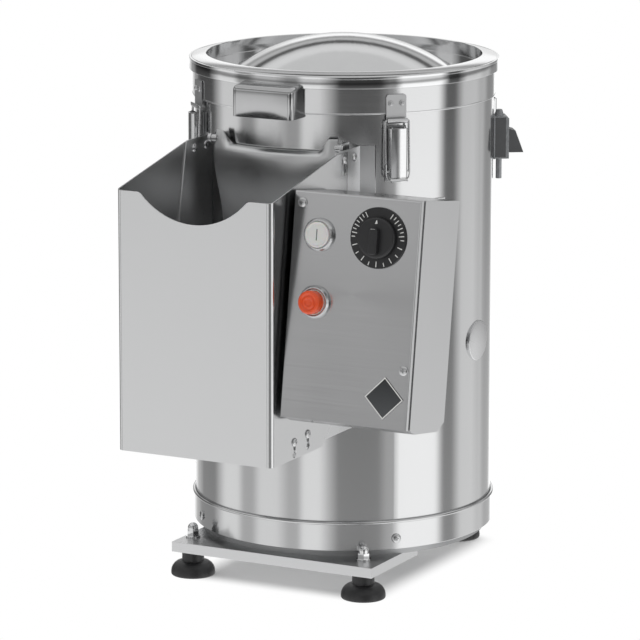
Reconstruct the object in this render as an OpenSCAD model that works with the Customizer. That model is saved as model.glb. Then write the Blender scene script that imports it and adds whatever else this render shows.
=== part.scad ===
// Bench-top electric potato peeler: drum, lifting lid with four toggle latches,
// outlet door with chute hood, control box, and the drive below the chamber.
// Millimetres, Z up. All pieces are drawn about the drum's axis, front at -Y,
// and placed by on_axis().

/* [Drum] */
// Outer radius of the drum
drum_r = 175; // [165:1:190]
// Sheet thickness of the drum
drum_wall = 1.5; // [1:0.1:2]
// Height of the drum's top edge above the floor
drum_top = 590; // [585:1:640]
// Height of the chamber floor's upper face
chamber_z = 300; // [298:1:306]
// Thickness of the abrasive wall lining
liner_t = 8; // [5:0.5:10]
// Radius of the blanking plug's head
plug_r = 24.5; // [22:0.5:28]
// Height of the blanking plug's centre
plug_z = 282; // [200:1:286]

/* [Feet and base] */
// Height of the foot beams' lower edge
foot_h = 33; // [30:1:45]
// Radius of a foot's rubber pad
pad_r = 26; // [20:0.5:30]
// Radius of a foot's rubber neck
neck_r = 13; // [10:0.5:15]
// Height of a folded foot beam
beam_h = 12; // [10:1:20]
// Sheet thickness of the foot beams
beam_t = 2.5; // [2:0.5:4]
// Depth of a foot beam, front to back
beam_depth = 119.5; // [100:0.5:130]
// Half the length of the front foot beam
front_beam_half = 131; // [128:0.5:150]
// Half the length of the rear foot beam
rear_beam_half = 104; // [95:1:130]
// Distance from the drum's axis to the front beam's front edge
front_beam_y = 183.5; // [175:0.5:200]
// Distance from the drum's axis to the rear beam's rear edge
rear_beam_y = 176; // [165:0.5:190]
// Distance of the front left foot from its beam's end
left_inset = 11; // [11:0.5:24]
// Distance of the front right foot from its beam's end
right_inset = 26.5; // [11:0.5:27]
// Distance of the rear feet from their beam's ends
rear_inset = 23; // [14:0.5:30]
// Distance of the feet from their beam's outer edge
foot_inset_y = 31.5; // [20:0.5:32]
// Height of the base ring
ring_h = 35; // [30:1:50]
// Sheet thickness of the base ring
ring_t = 1.6; // [1.2:0.1:2.5]

/* [Lid] */
// How far the lid's flat rim reaches out past the drum
rim_over = 6; // [5:0.5:12]
// Radial width of the lid's flat rim
rim_w = 20; // [16:0.5:26]
// Depth of the dished floor below the rim
dish_depth = 12; // [8:0.5:14]
// Radius of the dome's foot
dome_r = 124; // [100:1:135]
// Height of the dome's crown above the rim
dome_rise = 25; // [15:1:40]
// Sheet thickness of the lid
lid_t = 1.5; // [1:0.1:2]
// How far the skirt reaches down over the drum
skirt_lap = 29; // [24:1:40]
// Half the width of the lid's hand grip
grip_half = 38.5; // [30:0.5:50]
// How far the hand grip stands out from the skirt
grip_reach = 27; // [22:0.5:35]
// Height of the hand grip
grip_h = 36; // [30:0.5:38]

/* [Latches] */
// Angle of the front right latch from the front
latch_angle = 46.5; // [42:0.5:48]
// Half the width of a latch lever
lever_half = 10.6; // [10:0.1:12]
// Half the width of a catch plate
catch_half = 12; // [9:0.5:12]
// Radius of a bail's wire
wire_r = 1.3; // [1:0.1:1.5]
// Radius of a latch pin
latch_pin_r = 1.5; // [1.2:0.1:1.8]

/* [Outlet door] */
// Half the width of the outlet window
window_half = 68; // [55:1:70]
// Depth of the window's upper edge below the drum's top edge
window_drop = 90; // [85:1:110]
// Height of the window's lower edge above the chamber floor
window_sill = 85; // [75:1:100]
// Half the width of the door
door_half = 76; // [74:1:80]
// Sheet thickness of the door
door_t = 1.5; // [1:0.1:2]
// Radius of the door's flared lip
lip_r = 13.5; // [9:0.5:16]
// Radius of a door pin
door_pin_r = 3; // [2:0.1:4]

/* [Chute hood] */
// Half the width of the hood
hood_half = 98; // [96:0.5:99]
// Distance from the drum's axis to the hood's front face
hood_reach = 363; // [340:1:380]
// Height of the hood's lower edge
hood_bottom = 197; // [150:1:215]
// Depth of the hood's front edge below the drum's top edge
hood_front_drop = 97; // [90:1:120]
// Depth of the hood's rear corners below the drum's top edge
hood_rear_drop = 65.5; // [60:0.5:75]
// Sheet thickness of the hood
hood_t = 1.5; // [1:0.1:2]
// Outer radius of the hood's front corners
hood_bend_r = 7; // [4:0.5:12]
// Depth of the scoop in the hood's front edge
scoop_depth = 31.5; // [20:0.5:40]
// Radius of the scoop
scoop_r = 89; // [80:1:120]

/* [Control box] */
// Position of the box's left side, right of the drum's axis
box_x = 104; // [102:1:110]
// Distance of the box's upper front edge from the drum's axis
box_y = 317.7; // [300:0.1:330]
// Depth of the box's upper front edge below the drum's top edge
box_drop = 87.5; // [70:0.5:110]
// Backward lean of the control panel
box_tilt = 8.4; // [4:0.1:12]
// Width of the control box
box_w = 154; // [148:1:170]
// Length of the control panel
box_h = 250; // [242:1:270]
// Depth of the control box
box_d = 95; // [85:1:105]
// Sheet thickness of the control box
box_t = 1.5; // [1:0.1:2]
// Radius of the timer's scale
scale_r = 33.5; // [28:0.5:36]
// Radius of the timer's knob
knob_r = 22.5; // [20:0.5:25]
// Radius of a push button's bezel
bezel_r = 18.6; // [17:0.1:20]
// Height of a push button's bezel above the panel
bezel_h = 6; // [4:0.5:8]
// Radius of a push button's bore
button_bore_r = 14.7; // [13:0.1:15]
// Half the diagonal of the badge plate
badge_half = 23; // [15:0.5:26]

/* [Drive] */
// Gap between the abrasive disc and the wall lining
disc_gap = 4.8; // [3:0.1:10]
// Radius of the drive shaft
shaft_r = 12.5; // [10:0.5:14]
// Belt radius on the driven pulley
driven_r = 70; // [60:1:74]
// Belt radius on the motor pulley
motor_pulley_r = 20; // [15:1:24]
// Distance between the two pulleys' axes
belt_centres = 105; // [104:1:108]
// Radius of the motor housing
motor_r = 55; // [45:1:58]
// Height of the motor housing
motor_h = 145; // [110:1:150]

/* [Water and drain] */
// Outer radius of the drain spout
spout_r = 24; // [18:0.5:24]
// How far the drain spout stands out from the drum
spout_reach = 40; // [30:1:50]
// Angle of the water valve from the front
valve_angle = 124; // [118:1:126]
// Radius of the water valve's inlet stem
valve_stem_r = 3.5; // [3:0.5:5]

/* [Hidden] */
$fn = 128;

// The drum's axis in the part's frame: the frame's origin is the footprint's centre
axis_x = -38.5;
axis_y = 74;

// Clearances
touch = 0.1;          // faces of one body that lie against each other
run_gap = 0.5;        // between bodies that move past each other
pin_gap = 0.05;       // radial, a pin or shaft in its bore
hole_gap = 0.25;      // radial, a screw or stud in its hole
cut = 1;              // overshoot of cutting tools

// Levels
deck_z = foot_h + beam_h;
pan_step = 8;
pan_t = 2;
drum_bottom = deck_z + pan_step + pan_t;
drum_in = drum_r - drum_wall;
seat_r = drum_r + touch;
rim_z = drum_top + 15;
seam_z = drum_top - skirt_lap;

// Feet
stud_r = 4;
stud_bottom = 20;
stud_grip = 13;
jam_h = 9.6;
hex_r = 7.5;
cap_washer_r = 8.5;
cap_washer_t = 1.6;
front_feet = [[-front_beam_half + left_inset, foot_inset_y - front_beam_y],
              [front_beam_half - right_inset, foot_inset_y - front_beam_y]];
rear_feet = [for (s = [-1, 1]) [s * (rear_beam_half - rear_inset), rear_beam_y - foot_inset_y + 6]];
feet = concat(front_feet, rear_feet);

// Base ring and screws
ring_z = deck_z + pan_step;
screw_z = ring_z + 13;
screw_angles = [-132.5, -42.5, 47.5, 137.5];
screw_r = 2.4;
screw_head_r = 5.5;
screw_head_h = 3;

// Lid levels
rim_r = drum_r + rim_over;
skirt_in = drum_r + run_gap;
skirt_out = skirt_in + lid_t;
bead_r = rim_r - 0.5;
bead_z = rim_z - 14;
seal_z = drum_top + 0.3;
dish_z = rim_z - dish_depth;
dome_h = dish_depth + dome_rise;
dome_sphere_r = (dome_r * dome_r + dome_h * dome_h) / (2 * dome_h);
dome_centre_z = rim_z + dome_rise - dome_sphere_r;
grip_z = seam_z - 3;

// Latches: positions in a latch's own frame, outward and up
latch_angles = [latch_angle, latch_angle - 90, latch_angle + 90, latch_angle - 180];
base_t = 1.5;
base_half = 12.4;
catch_t = 1.5;
catch_in = skirt_out + 0.3;
catch_top = seam_z + 23;
hook_r = 1.9;                                   // inside radius of the catch's hook
hook_x = catch_in + catch_t + hook_r;
hook_z = seam_z - 6.4;
hook_lip = 2.4;
wire_z = hook_z - hook_r + wire_r + 0.3;        // the bail's cross wire in the hook
ear_r = 3.2;
pivot_r = 4.5;
pivot_x = drum_r + 8.5;
pivot_z = hook_z - hook_r - catch_t - 6.7;
bail_x = pivot_x - 0.5;
bail_z = pivot_z - 48;
lever_t = 1.3;
lever_x = pivot_x + 3.5;
lever_top = pivot_z + 1.8;
lever_bottom = pivot_z - 58;
ear_in = 6.6;
ear_t = 1.5;
lever_turn = 120;                               // a lever's full swing
bail_half = catch_half + run_gap + 0.3 + wire_r;    // its side wires pass beside the catch
wire_bend = 1.7;                                // radius of the wire's bends
rivet_z = seam_z + 13;
rivet_y = 6.7;
rivet_r = 2;

// Door: the hinge axis lies along X
door_in = drum_r + 0.6;
door_mid = door_in + door_t / 2;
window_z = chamber_z + window_sill;
window_top = drum_top - window_drop;
door_bottom = window_z - 13;
lip_z = window_top + 3;                         // where the flare starts
door_axis_y = -(drum_r - 7);
door_axis_z = lip_z + 22;
door_ear_r = 7.5;
lug_t = 2;
lug_x = door_half + 8;
lug_front = -(drum_r + 13);

// Hood and its brackets
hood_front = -hood_reach;
hood_rear = -(drum_r + 6);
hood_low_rear = -(drum_r + 68);
hood_low_rise = 55;
hood_top_rear = -(drum_r + 32);                 // where the side's top edge levels out
hood_front_top = drum_top - hood_front_drop;
hood_rear_top = drum_top - hood_rear_drop;
scoop_z = hood_front_top - scoop_depth + scoop_r;
scoop_fillet = 8;
bracket_t = 1.6;
bracket_out = hood_half - hood_t - 0.15;
hood_bolt_r = 3;
hood_bolts_yz = [[-(drum_r + 15), hood_rear_top - 9], [hood_front + 53, hood_bottom + 19],
                 [hood_front + 85, hood_bottom + 22]];
bracket_bolts_yz = [[-(drum_r - 13), hood_rear_top - 9]];
slot_h = 13;
slot_end_r = 4.6;

// Control box: u to the right, y inward, z up, from the upper left front corner
start_at = [33, -46.5];
stop_at = [33, -120.5];
dial_at = [105, -44];
badge_at = [box_w - 29, 33 - box_h];
box_screws = [[9.5, -12.7], [box_w - 8, 65 - box_h]];
cover_lip = 5;
cover_t = 1.2;
shell_front = 9.5;
shell_sag = 5;                                  // how far the shell's belly hangs below the cover
shell_corner = [16, 10];
knob_base = 3.1;
knob_disc_h = 6;
knob_bar = [10, 29, 7];
knob_drop = 3.6;                                // the bar sits below the knob's middle
knob_shaft_r = 3;
scale_t = 2.5;
cap_r = button_bore_r - 0.4;
collar_r = button_bore_r + 1.3;
button_travel = 3;
box_top = drum_top - box_drop;
web_x = [box_x + 8, box_x + 44];
web_t = 2;
web_z = [box_top - 202.5, box_top - 42.5];
plate_ends = [40 - box_h, -40];                 // the bracket's back plate, down the box

// Drive levels, from below
belt_z = 110;
belt_w = 11;
belt_t = 5;
flange_h = 3;
groove_h = belt_w + 3;
pulley_h = groove_h + 2 * flange_h;
pulley_z = belt_z - pulley_h / 2;
plate_z = 130;
plate_t = 6;
housing_flange_r = 60;
housing_flange_t = 8;
housing_r = 34;
housing_z = 190;
nose_r = 29.5;
nose_z = chamber_z + 12;
bearing_r = 26;
bearing_h = 15;
low_bearing_z = 196;
high_bearing_z = 269.5;
seal_r = 20;
disc_z = chamber_z + 35;
disc_t = 10;
boss_r = 30;
cap_top = disc_z + disc_t + 12;
shaft_top = disc_z + disc_t + 4;
shaft_bottom = pulley_z - 4;
motor_z = plate_z + plate_t + touch;
motor_shaft_r = 9.5;
liner_out = drum_in - 0.2;
liner_in = liner_out - liner_t;
liner_z = disc_z + disc_t + 7;
disc_r = liner_in - disc_gap;
liner_top = drum_top - 15;
capacitor_at = [-105, 40];
capacitor_r = 20;

// Water valve and drain, in the valve's frame: outward and up
spout_z = chamber_z + spout_r + 2;
spout_t = 1.5;
valve_z = [drum_top - 107, drum_top - 61];
valve_half = 15;
valve_depth = 12.5;
yoke_t = 2;
valve_in = drum_r + 0.3;
nozzle_r = 6;
connector_depth = 17.5;
gland_angle = -140;
gland_z = 105;
gland_bore_r = 4;

module on_axis() {
    translate([axis_x, axis_y, 0]) children();
}

// Turns local +X to the machine angle a, counted from the front towards the right
module at_angle(a) {
    rotate([0, 0, a - 90]) children();
}

// Prism along X from x0, with its outline in Y and Z
module yz_prism(x0, w, outline) {
    translate([x0, 0, 0]) rotate([90, 0, 90]) linear_extrude(w) polygon(outline);
}

module tube(r_out, r_in, z0, h) {
    translate([0, 0, z0]) difference() {
        cylinder(r = r_out, h = h);
        translate([0, 0, -cut]) cylinder(r = r_in, h = h + 2 * cut);
    }
}

// Cylinder along local X
module rod_x(r, x0, x1) {
    translate([x0, 0, 0]) rotate([0, 90, 0]) cylinder(r = r, h = x1 - x0);
}

// Cylinder along local Y, centred
module rod_y(r, half) {
    rotate([90, 0, 0]) cylinder(r = r, h = 2 * half, center = true);
}

function arc_points(c, r, a0, a1, n) =
    [for (i = [0:n]) [c[0] + r * cos(a0 + (a1 - a0) * i / n), c[1] + r * sin(a0 + (a1 - a0) * i / n)]];

// ---------------------------------------------------------------- feet and base

module rubber_feet() {
    bell_z = 4;
    bell_h = 13;
    neck_top = deck_z - beam_t - jam_h - touch;
    bell = [for (a = [0:15:90]) [neck_r + (pad_r - neck_r) * cos(a), bell_z + bell_h * sin(a)]];
    color("#1d1d1f") on_axis() for (p = feet) translate([p[0], p[1], 0]) difference() {
        rotate_extrude() polygon(concat([[0, 0], [pad_r - 1, 0], [pad_r, 1.5]], bell, [[neck_r, neck_top], [0, neck_top]]));
        translate([0, 0, stud_bottom]) cylinder(r = stud_r + pin_gap, h = neck_top);
    }
}

module foot_studs() {
    // The front studs reach up into their cap nuts, the rear ones end flush with the beam
    color("#b8babc") on_axis() for (p = feet) translate([p[0], p[1], 0]) {
        top = deck_z + (p[1] < 0 ? stud_grip : 0);
        translate([0, 0, stud_bottom + touch]) cylinder(r = stud_r, h = top - stud_bottom - touch);
        translate([0, 0, deck_z - beam_t - jam_h]) cylinder(r = hex_r, h = jam_h - touch / 2, $fn = 6);
    }
}

module cap_nuts() {
    hex_h = 6.5;
    dome = 6.1;
    color("#d4d5d7") on_axis() for (p = front_feet) translate([p[0], p[1], deck_z]) difference() {
        union() {
            cylinder(r = cap_washer_r, h = cap_washer_t);
            translate([0, 0, cap_washer_t]) cylinder(r = hex_r, h = hex_h, $fn = 6);
            translate([0, 0, cap_washer_t + hex_h]) cylinder(r = dome, h = 3);
            translate([0, 0, cap_washer_t + hex_h + 3]) sphere(r = dome);
        }
        translate([0, 0, -cut]) cylinder(r = stud_r + pin_gap, h = stud_grip + cut + 2 * touch);
    }
}

// Folded pan, open below, with a hole for each foot's stud
module foot_beam(half, y0, holes) {
    difference() {
        translate([-half, y0, foot_h]) cube([2 * half, beam_depth, beam_h]);
        translate([-half + beam_t, y0 + beam_t, foot_h - cut])
            cube([2 * (half - beam_t), beam_depth - 2 * beam_t, beam_h - beam_t + cut]);
        for (p = holes) translate([p[0], p[1], foot_h]) cylinder(r = stud_r + hole_gap, h = beam_h + cut);
    }
}

module front_foot_beam() {
    color("#c9cacc") on_axis() foot_beam(front_beam_half, -front_beam_y, front_feet);
}

module rear_foot_beam() {
    color("#c9cacc") on_axis() foot_beam(rear_beam_half, rear_beam_y - beam_depth, rear_feet);
}

module base_plate() {
    step_r = drum_r - 7;
    color("#8e9092") on_axis() rotate_extrude() polygon([
        [0, deck_z], [step_r, deck_z], [step_r, ring_z], [drum_r, ring_z], [drum_r, drum_bottom],
        [step_r - pan_t, drum_bottom], [step_r - pan_t, deck_z + pan_t], [0, deck_z + pan_t]]);
}

module base_ring() {
    bead = 1.9;
    color("#d0d1d3") on_axis() difference() {
        rotate_extrude() {
            translate([seat_r, ring_z]) square([ring_t, ring_h - bead]);
            translate([seat_r + bead, ring_z + ring_h - bead]) circle(r = bead);
        }
        for (a = screw_angles) at_angle(a) translate([0, 0, screw_z]) rod_x(screw_r + hole_gap, drum_r - cut, drum_r + 9);
    }
}

// Rounded head of radius r and height h towards +X, on a seat at the origin
module round_head(r, h) {
    crown = [for (a = [0:18:90]) [r * cos(a), h * (0.35 + 0.65 * sin(a))]];
    rotate([0, 90, 0]) rotate_extrude() polygon(concat([[0, touch / 2], [r, touch / 2]], crown));
}

// Pan-head screw along -X: the head's seat is at the origin
module pan_screw(length) {
    rod_x(screw_r, -length, screw_head_h / 2);
    round_head(screw_head_r, screw_head_h);
}

module panel_screws() {
    color("#c4c5c7") on_axis() {
        for (a = screw_angles) at_angle(a) translate([seat_r + ring_t, 0, screw_z]) pan_screw(8);
        box_frame() for (p = box_screws) translate([p[0], 0, p[1]]) rotate([0, 0, -90]) pan_screw(10);
    }
}

// ---------------------------------------------------------------- drum

// The round holes that the drum's wall and its lining share
module wall_bores(gap) {
    at_angle(valve_angle) translate([0, 0, valve_z[1] - 23]) rod_x(nozzle_r + gap, drum_r - 20, drum_r + 9);
}

module outlet_cut(grow) {
    translate([-window_half - grow, -drum_r - 9, window_z - grow])
        cube([2 * (window_half + grow), 60, window_top - window_z + 2 * grow]);
}

module drum_shell() {
    color("#c6c8ca") on_axis() difference() {
        tube(drum_r, drum_in, drum_bottom, drum_top - drum_bottom);
        outlet_cut(0);
        wall_bores(hole_gap);
        at_angle(180) translate([0, 0, spout_z]) rod_x(spout_r + hole_gap, drum_r - 20, drum_r + 9);
        at_angle(90) translate([0, 0, plug_z]) rod_x(plug_r - 12.5 + hole_gap, drum_r - 20, drum_r + 9);
        at_angle(gland_angle) translate([0, 0, gland_z]) rod_x(8 + hole_gap, drum_r - 20, drum_r + 9);
        for (a = screw_angles) at_angle(a) translate([0, 0, screw_z]) rod_x(screw_r + hole_gap, drum_r - 20, drum_r + 9);
    }
}

module chamber_floor() {
    edge = 10;
    out = drum_in - 0.2;
    color("#b4b6b8") on_axis() difference() {
        rotate_extrude() polygon([
            [nose_r + hole_gap, chamber_z - drum_wall], [out, chamber_z - drum_wall], [out, chamber_z + edge],
            [out - drum_wall, chamber_z + edge], [out - drum_wall, chamber_z], [nose_r + hole_gap, chamber_z]]);
        at_angle(180) translate([0, 0, spout_z]) rod_x(spout_r + hole_gap, drum_r - 20, drum_r + 9);
    }
}

module abrasive_liner() {
    color("#5d5a55") on_axis() difference() {
        tube(liner_out, liner_in, liner_z, liner_top - liner_z);
        outlet_cut(2);
        wall_bores(hole_gap);
    }
}

module drain_spout() {
    collar_t = 2.5;
    color("#bfc1c3") on_axis() difference() {
        at_angle(180) translate([0, 0, spout_z]) difference() {
            union() {
                rod_x(spout_r, drum_in - 3, drum_r + spout_reach);
                difference() {
                    rod_x(spout_r + 8, drum_r - 9, drum_r + collar_t);
                    translate([0, 0, -spout_r - 9]) cylinder(r = seat_r, h = 2 * spout_r + 18);
                }
            }
            rod_x(spout_r - spout_t, drum_in - 9, drum_r + spout_reach + cut);
        }
    }
}

module blanking_plug() {
    head_t = 3.2;
    color("#cfd0d2") on_axis() at_angle(90) translate([0, 0, plug_z]) {
        rod_x(plug_r - 12.5, drum_in - 6, drum_r + 1);
        difference() {
            rod_x(plug_r, drum_r - 4, drum_r + head_t);
            translate([0, 0, -plug_r - 1]) cylinder(r = seat_r, h = 2 * plug_r + 2);
        }
    }
}

// ---------------------------------------------------------------- water valve and cable inlet

module valve_coil() {
    front = valve_in + yoke_t + valve_depth + 2 * touch + 2 * yoke_t;
    low = valve_z[0] + 5;
    high = valve_z[1] - 13;
    outline = [[front, low], [front, high], [front + connector_depth * 0.45, high - 2],
               [front + connector_depth, low]];
    color("#2a2b2d") on_axis() at_angle(valve_angle) {
        translate([valve_in + yoke_t + touch, -valve_half, valve_z[0] + touch])
            cube([valve_depth, 2 * valve_half, valve_z[1] - valve_z[0] - 2 * touch]);
        translate([0, 11, 0]) rotate([90, 0, 0]) linear_extrude(22) polygon(outline);
    }
}

module valve_body() {
    front = valve_in + yoke_t + valve_depth + 2 * touch;
    arm = front + yoke_t - valve_in;
    stem_x = valve_in + 8.5;
    color("#9a9c9e") on_axis() at_angle(valve_angle) {
        difference() {
            union() {
                translate([valve_in, -valve_half, valve_z[0] - yoke_t]) cube([yoke_t, 2 * valve_half, valve_z[1] - valve_z[0] + 2 * yoke_t]);
                for (z = [valve_z[0] - yoke_t, valve_z[1]])
                    translate([valve_in, -valve_half + 2, z]) cube([arm, 2 * valve_half - 4, yoke_t]);
                translate([front, -valve_half + 2, valve_z[0] - yoke_t])
                    cube([2 * yoke_t - touch, 2 * valve_half - 4, valve_z[1] - valve_z[0] + yoke_t]);
                translate([stem_x, 0, valve_z[0] - 27]) cylinder(r = valve_stem_r, h = 27);
                translate([stem_x, 0, valve_z[1]]) cylinder(r1 = 6.5, r2 = 3.5, h = 9);
                translate([0, 0, valve_z[1] - 23]) rod_x(nozzle_r, liner_in, valve_in + cut);
            }
            translate([stem_x, 0, valve_z[0] - 28]) cylinder(r = valve_stem_r - 1.2, h = 22);
        }
    }
}

module cable_gland() {
    color("#2a2b2d") on_axis() at_angle(gland_angle) translate([0, 0, gland_z]) difference() {
        union() {
            rod_x(8, drum_in - 9, drum_r + 3);
            translate([drum_r + 0.5, 0, 0]) rotate([0, 90, 0]) cylinder(r = 11, h = 6, $fn = 6);
            rod_x(9.5, drum_r + 6, drum_r + 17);
            translate([drum_r + 17, 0, 0]) rotate([0, 90, 0]) cylinder(r1 = 9.5, r2 = 6.5, h = 5);
        }
        rod_x(gland_bore_r, drum_in - 12, drum_r + 26);
    }
}

// ---------------------------------------------------------------- drive

module motor_plate() {
    out = drum_in - 0.2;
    lip = 15;
    color("#7f8284") on_axis() difference() {
        rotate_extrude() polygon([
            [shaft_r + 4, plate_z], [out - 3, plate_z], [out - 3, plate_z - lip], [out, plate_z - lip],
            [out, plate_z + plate_t], [shaft_r + 4, plate_z + plate_t]]);
        translate([0, belt_centres, plate_z - cut]) cylinder(r = motor_shaft_r + 5, h = plate_t + 2 * cut);
    }
}

module motor_housing() {
    rib = 2.2;
    cap_h = 26;
    color("#4b5258") on_axis() translate([0, belt_centres, motor_z]) difference() {
        union() {
            cylinder(r = motor_r - 5, h = motor_h);
            cylinder(r = motor_r, h = 10);
            translate([0, 0, motor_h - cap_h]) cylinder(r = motor_r, h = cap_h);
            for (a = [0:20:340]) rotate([0, 0, a]) translate([0, -rib / 2, 5]) cube([motor_r - 1, rib, motor_h - 10]);
        }
        translate([0, 0, -cut]) cylinder(r = motor_shaft_r + pin_gap, h = 21);
    }
}

module run_capacitor() {
    can_h = 72;
    color("#c8c9c4") on_axis() translate([capacitor_at[0], capacitor_at[1], motor_z]) {
        cylinder(r = capacitor_r, h = can_h);
        for (s = [-1, 1]) translate([s * 7 - 0.4, -3, can_h - 1]) cube([0.8, 6, 9]);
    }
}

// Turned pulley with two flanges round a flat groove, on its own axis
module pulley(r, bore) {
    flange = 4;
    tube(r, bore, pulley_z, pulley_h);
    for (z = [pulley_z, pulley_z + pulley_h - flange_h]) tube(r + flange, bore, z, flange_h);
}

module driven_pulley() {
    web = 8;
    color("#6b6f73") on_axis() difference() {
        pulley(driven_r, shaft_r + 0.02);
        for (z = [pulley_z - cut, pulley_z + pulley_h / 2 + web / 2]) {
            translate([0, 0, z]) difference() {
                cylinder(r = driven_r - 6, h = pulley_h / 2 - web / 2 + cut);
                cylinder(r = shaft_r + 10, h = pulley_h);
            }
        }
    }
}

module motor_pulley() {
    color("#8a8d90") on_axis() translate([0, belt_centres, 0]) {
        pulley(motor_pulley_r, motor_shaft_r - 2);
        translate([0, 0, pulley_z - 2]) cylinder(r = motor_shaft_r, h = motor_z + 18 - pulley_z);
    }
}

// Outline of a belt's face that lies d outside the two belt radii
function belt_face(d) =
    let (lean = asin((driven_r - motor_pulley_r) / belt_centres))
    concat(arc_points([0, 0], driven_r + d, 180 - lean, 360 + lean, 72),
           arc_points([0, belt_centres], motor_pulley_r + d, lean, 180 - lean, 24));

module drive_belt() {
    color("#232323") on_axis() translate([0, 0, belt_z - belt_w / 2]) linear_extrude(belt_w) difference() {
        polygon(belt_face(0.4 + belt_t));
        polygon(belt_face(0.4));
    }
}

module bearing_housing() {
    top = chamber_z - drum_wall - touch;
    seat = bearing_r + pin_gap;
    color("#85888b") on_axis() rotate_extrude() polygon([
        [housing_r, housing_z], [housing_r, top - housing_flange_t], [housing_flange_r, top - housing_flange_t],
        [housing_flange_r, top], [nose_r, top], [nose_r, nose_z], [seal_r + pin_gap, nose_z],
        [seal_r + pin_gap, nose_z - 9.6], [seal_r - 4, nose_z - 9.6], [seal_r - 4, high_bearing_z + bearing_h + touch],
        [seat, high_bearing_z + bearing_h + touch], [seat, high_bearing_z - 1.5], [bearing_r - 4, high_bearing_z - 1.5],
        [bearing_r - 4, low_bearing_z + bearing_h + 1], [seat, low_bearing_z + bearing_h + 1], [seat, housing_z]]);
}

module shaft_bearings() {
    color("#aeb1b4") on_axis() for (z = [low_bearing_z, high_bearing_z]) tube(bearing_r, shaft_r + pin_gap, z, bearing_h);
}

module shaft_seal() {
    color("#1f1f20") on_axis() tube(seal_r, shaft_r + 0.08, nose_z - 9.5, 8);
}

module drive_shaft() {
    color("#a2a5a8") on_axis() translate([0, 0, shaft_bottom]) cylinder(r = shaft_r, h = shaft_top - shaft_bottom);
}

module abrasive_disc() {
    ridge_r = 16;
    ridge_z = disc_z + disc_t - 8;
    color("#6a665f") on_axis() difference() {
        union() {
            translate([0, 0, disc_z]) cylinder(r = disc_r, h = disc_t);
            translate([0, 0, nose_z + 4]) cylinder(r = boss_r, h = cap_top - nose_z - 4);
            for (a = [0, 120, 240]) rotate([0, 0, a]) {
                intersection() {
                    translate([0, 0, ridge_z]) rod_x(ridge_r, boss_r - 6, disc_r - 10);
                    translate([0, -ridge_r, disc_z + 1]) cube([disc_r, 2 * ridge_r, ridge_r + 9]);
                }
                translate([disc_r - 45, -1.5, nose_z + 4]) cube([40, 3, disc_z - nose_z - 3]);
            }
        }
        translate([0, 0, nose_z]) cylinder(r = shaft_r + 0.02, h = shaft_top + touch - nose_z);
    }
}

// ---------------------------------------------------------------- control box

module box_frame() {
    translate([box_x, -box_y, box_top]) rotate([-box_tilt, 0, 0]) children();
}

// Turns local +Z out of the control panel, at u and z on its face
module on_panel(p) {
    box_frame() translate([p[0], 0, p[1]]) rotate([90, 0, 0]) children();
}

module box_cover() {
    lap = cover_lip;
    color("#a9abad") on_axis() difference() {
        box_frame() difference() {
            translate([0, 0, -box_h]) cube([box_w, lap, box_h]);
            translate([cover_t, cover_t, cover_t - box_h]) cube([box_w - 2 * cover_t, lap, box_h - 2 * cover_t]);
        }
        for (p = [start_at, stop_at]) on_panel(p) translate([0, 0, -cut - cover_t]) cylinder(r = collar_r + hole_gap, h = 9);
        on_panel(dial_at) translate([0, 0, -cut - cover_t]) cylinder(r = knob_shaft_r + hole_gap, h = 9);
        for (p = box_screws) on_panel(p) translate([0, 0, -cut - cover_t]) cylinder(r = screw_r + hole_gap, h = 9);
    }
}

// Side outline of the box shell, drawn in by d
function shell_outline(d) =
    let (front = shell_front - (d > 0 ? 9 : 0), belly = d - box_h - shell_sag)
    [[front, -d], [box_d - d, -d], [box_d - d, belly + shell_corner[1]], [box_d - shell_corner[0], belly],
     [shell_front + 13, belly], [shell_front, d - box_h], [front, d - box_h]];

module box_shell() {
    inset = cover_t + touch;
    lip_w = box_w - 2 * inset;
    lip_h = box_h - 2 * inset;
    tab = 16;
    color("#b5b7b9") on_axis() box_frame() {
        difference() {
            union() {
                yz_prism(0, box_w, shell_outline(0));
                translate([inset, inset, -box_h + inset]) cube([lip_w, shell_front, lip_h]);
            }
            yz_prism(box_t, box_w - 2 * box_t, shell_outline(box_t));
            translate([inset + box_t, -cut, -box_h + inset + box_t]) cube([lip_w - 2 * box_t, 20, lip_h - 2 * box_t]);
        }
        // Tapped tabs behind the cover's two screws
        for (p = box_screws) {
            x0 = p[0] < box_w / 2 ? inset : box_w - inset - tab;
            difference() {
                translate([x0, inset, p[1] - 8]) cube([tab, 2.5, 16]);
                translate([p[0], 0, p[1]]) rotate([-90, 0, 0]) cylinder(r = screw_r + pin_gap, h = 9);
            }
        }
    }
}

module box_bracket() {
    back = box_d + touch;
    plate_edge = 6;
    rear_top = [-box_y + back * cos(box_tilt), box_top - back * sin(box_tilt)];
    function back_y(z) = rear_top[0] - (rear_top[1] - z) * tan(box_tilt);
    color("#a3a5a7") on_axis() {
        difference() {
            union() {
                for (x = web_x) yz_prism(x, web_t, [
                    [back_y(web_z[0]) + cut, web_z[0]], [back_y(web_z[1]) + cut, web_z[1]],
                    [-drum_r / 4, web_z[1]], [-drum_r / 4, web_z[0]]]);
                intersection() {
                    translate([0, 0, web_z[0]]) cylinder(r = seat_r + web_t, h = web_z[1] - web_z[0]);
                    for (x = web_x) translate([x, -drum_r - 9, web_z[0]]) cube([15, drum_r, web_z[1] - web_z[0]]);
                }
                box_frame() translate([web_x[0] - box_x - plate_edge, back, plate_ends[0]])
                    cube([web_x[1] - web_x[0] + web_t + 2 * plate_edge, web_t, plate_ends[1] - plate_ends[0]]);
            }
            translate([0, 0, web_z[0] - cut]) cylinder(r = seat_r, h = web_z[1] - web_z[0] + 2 * cut);
        }
    }
}

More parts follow.
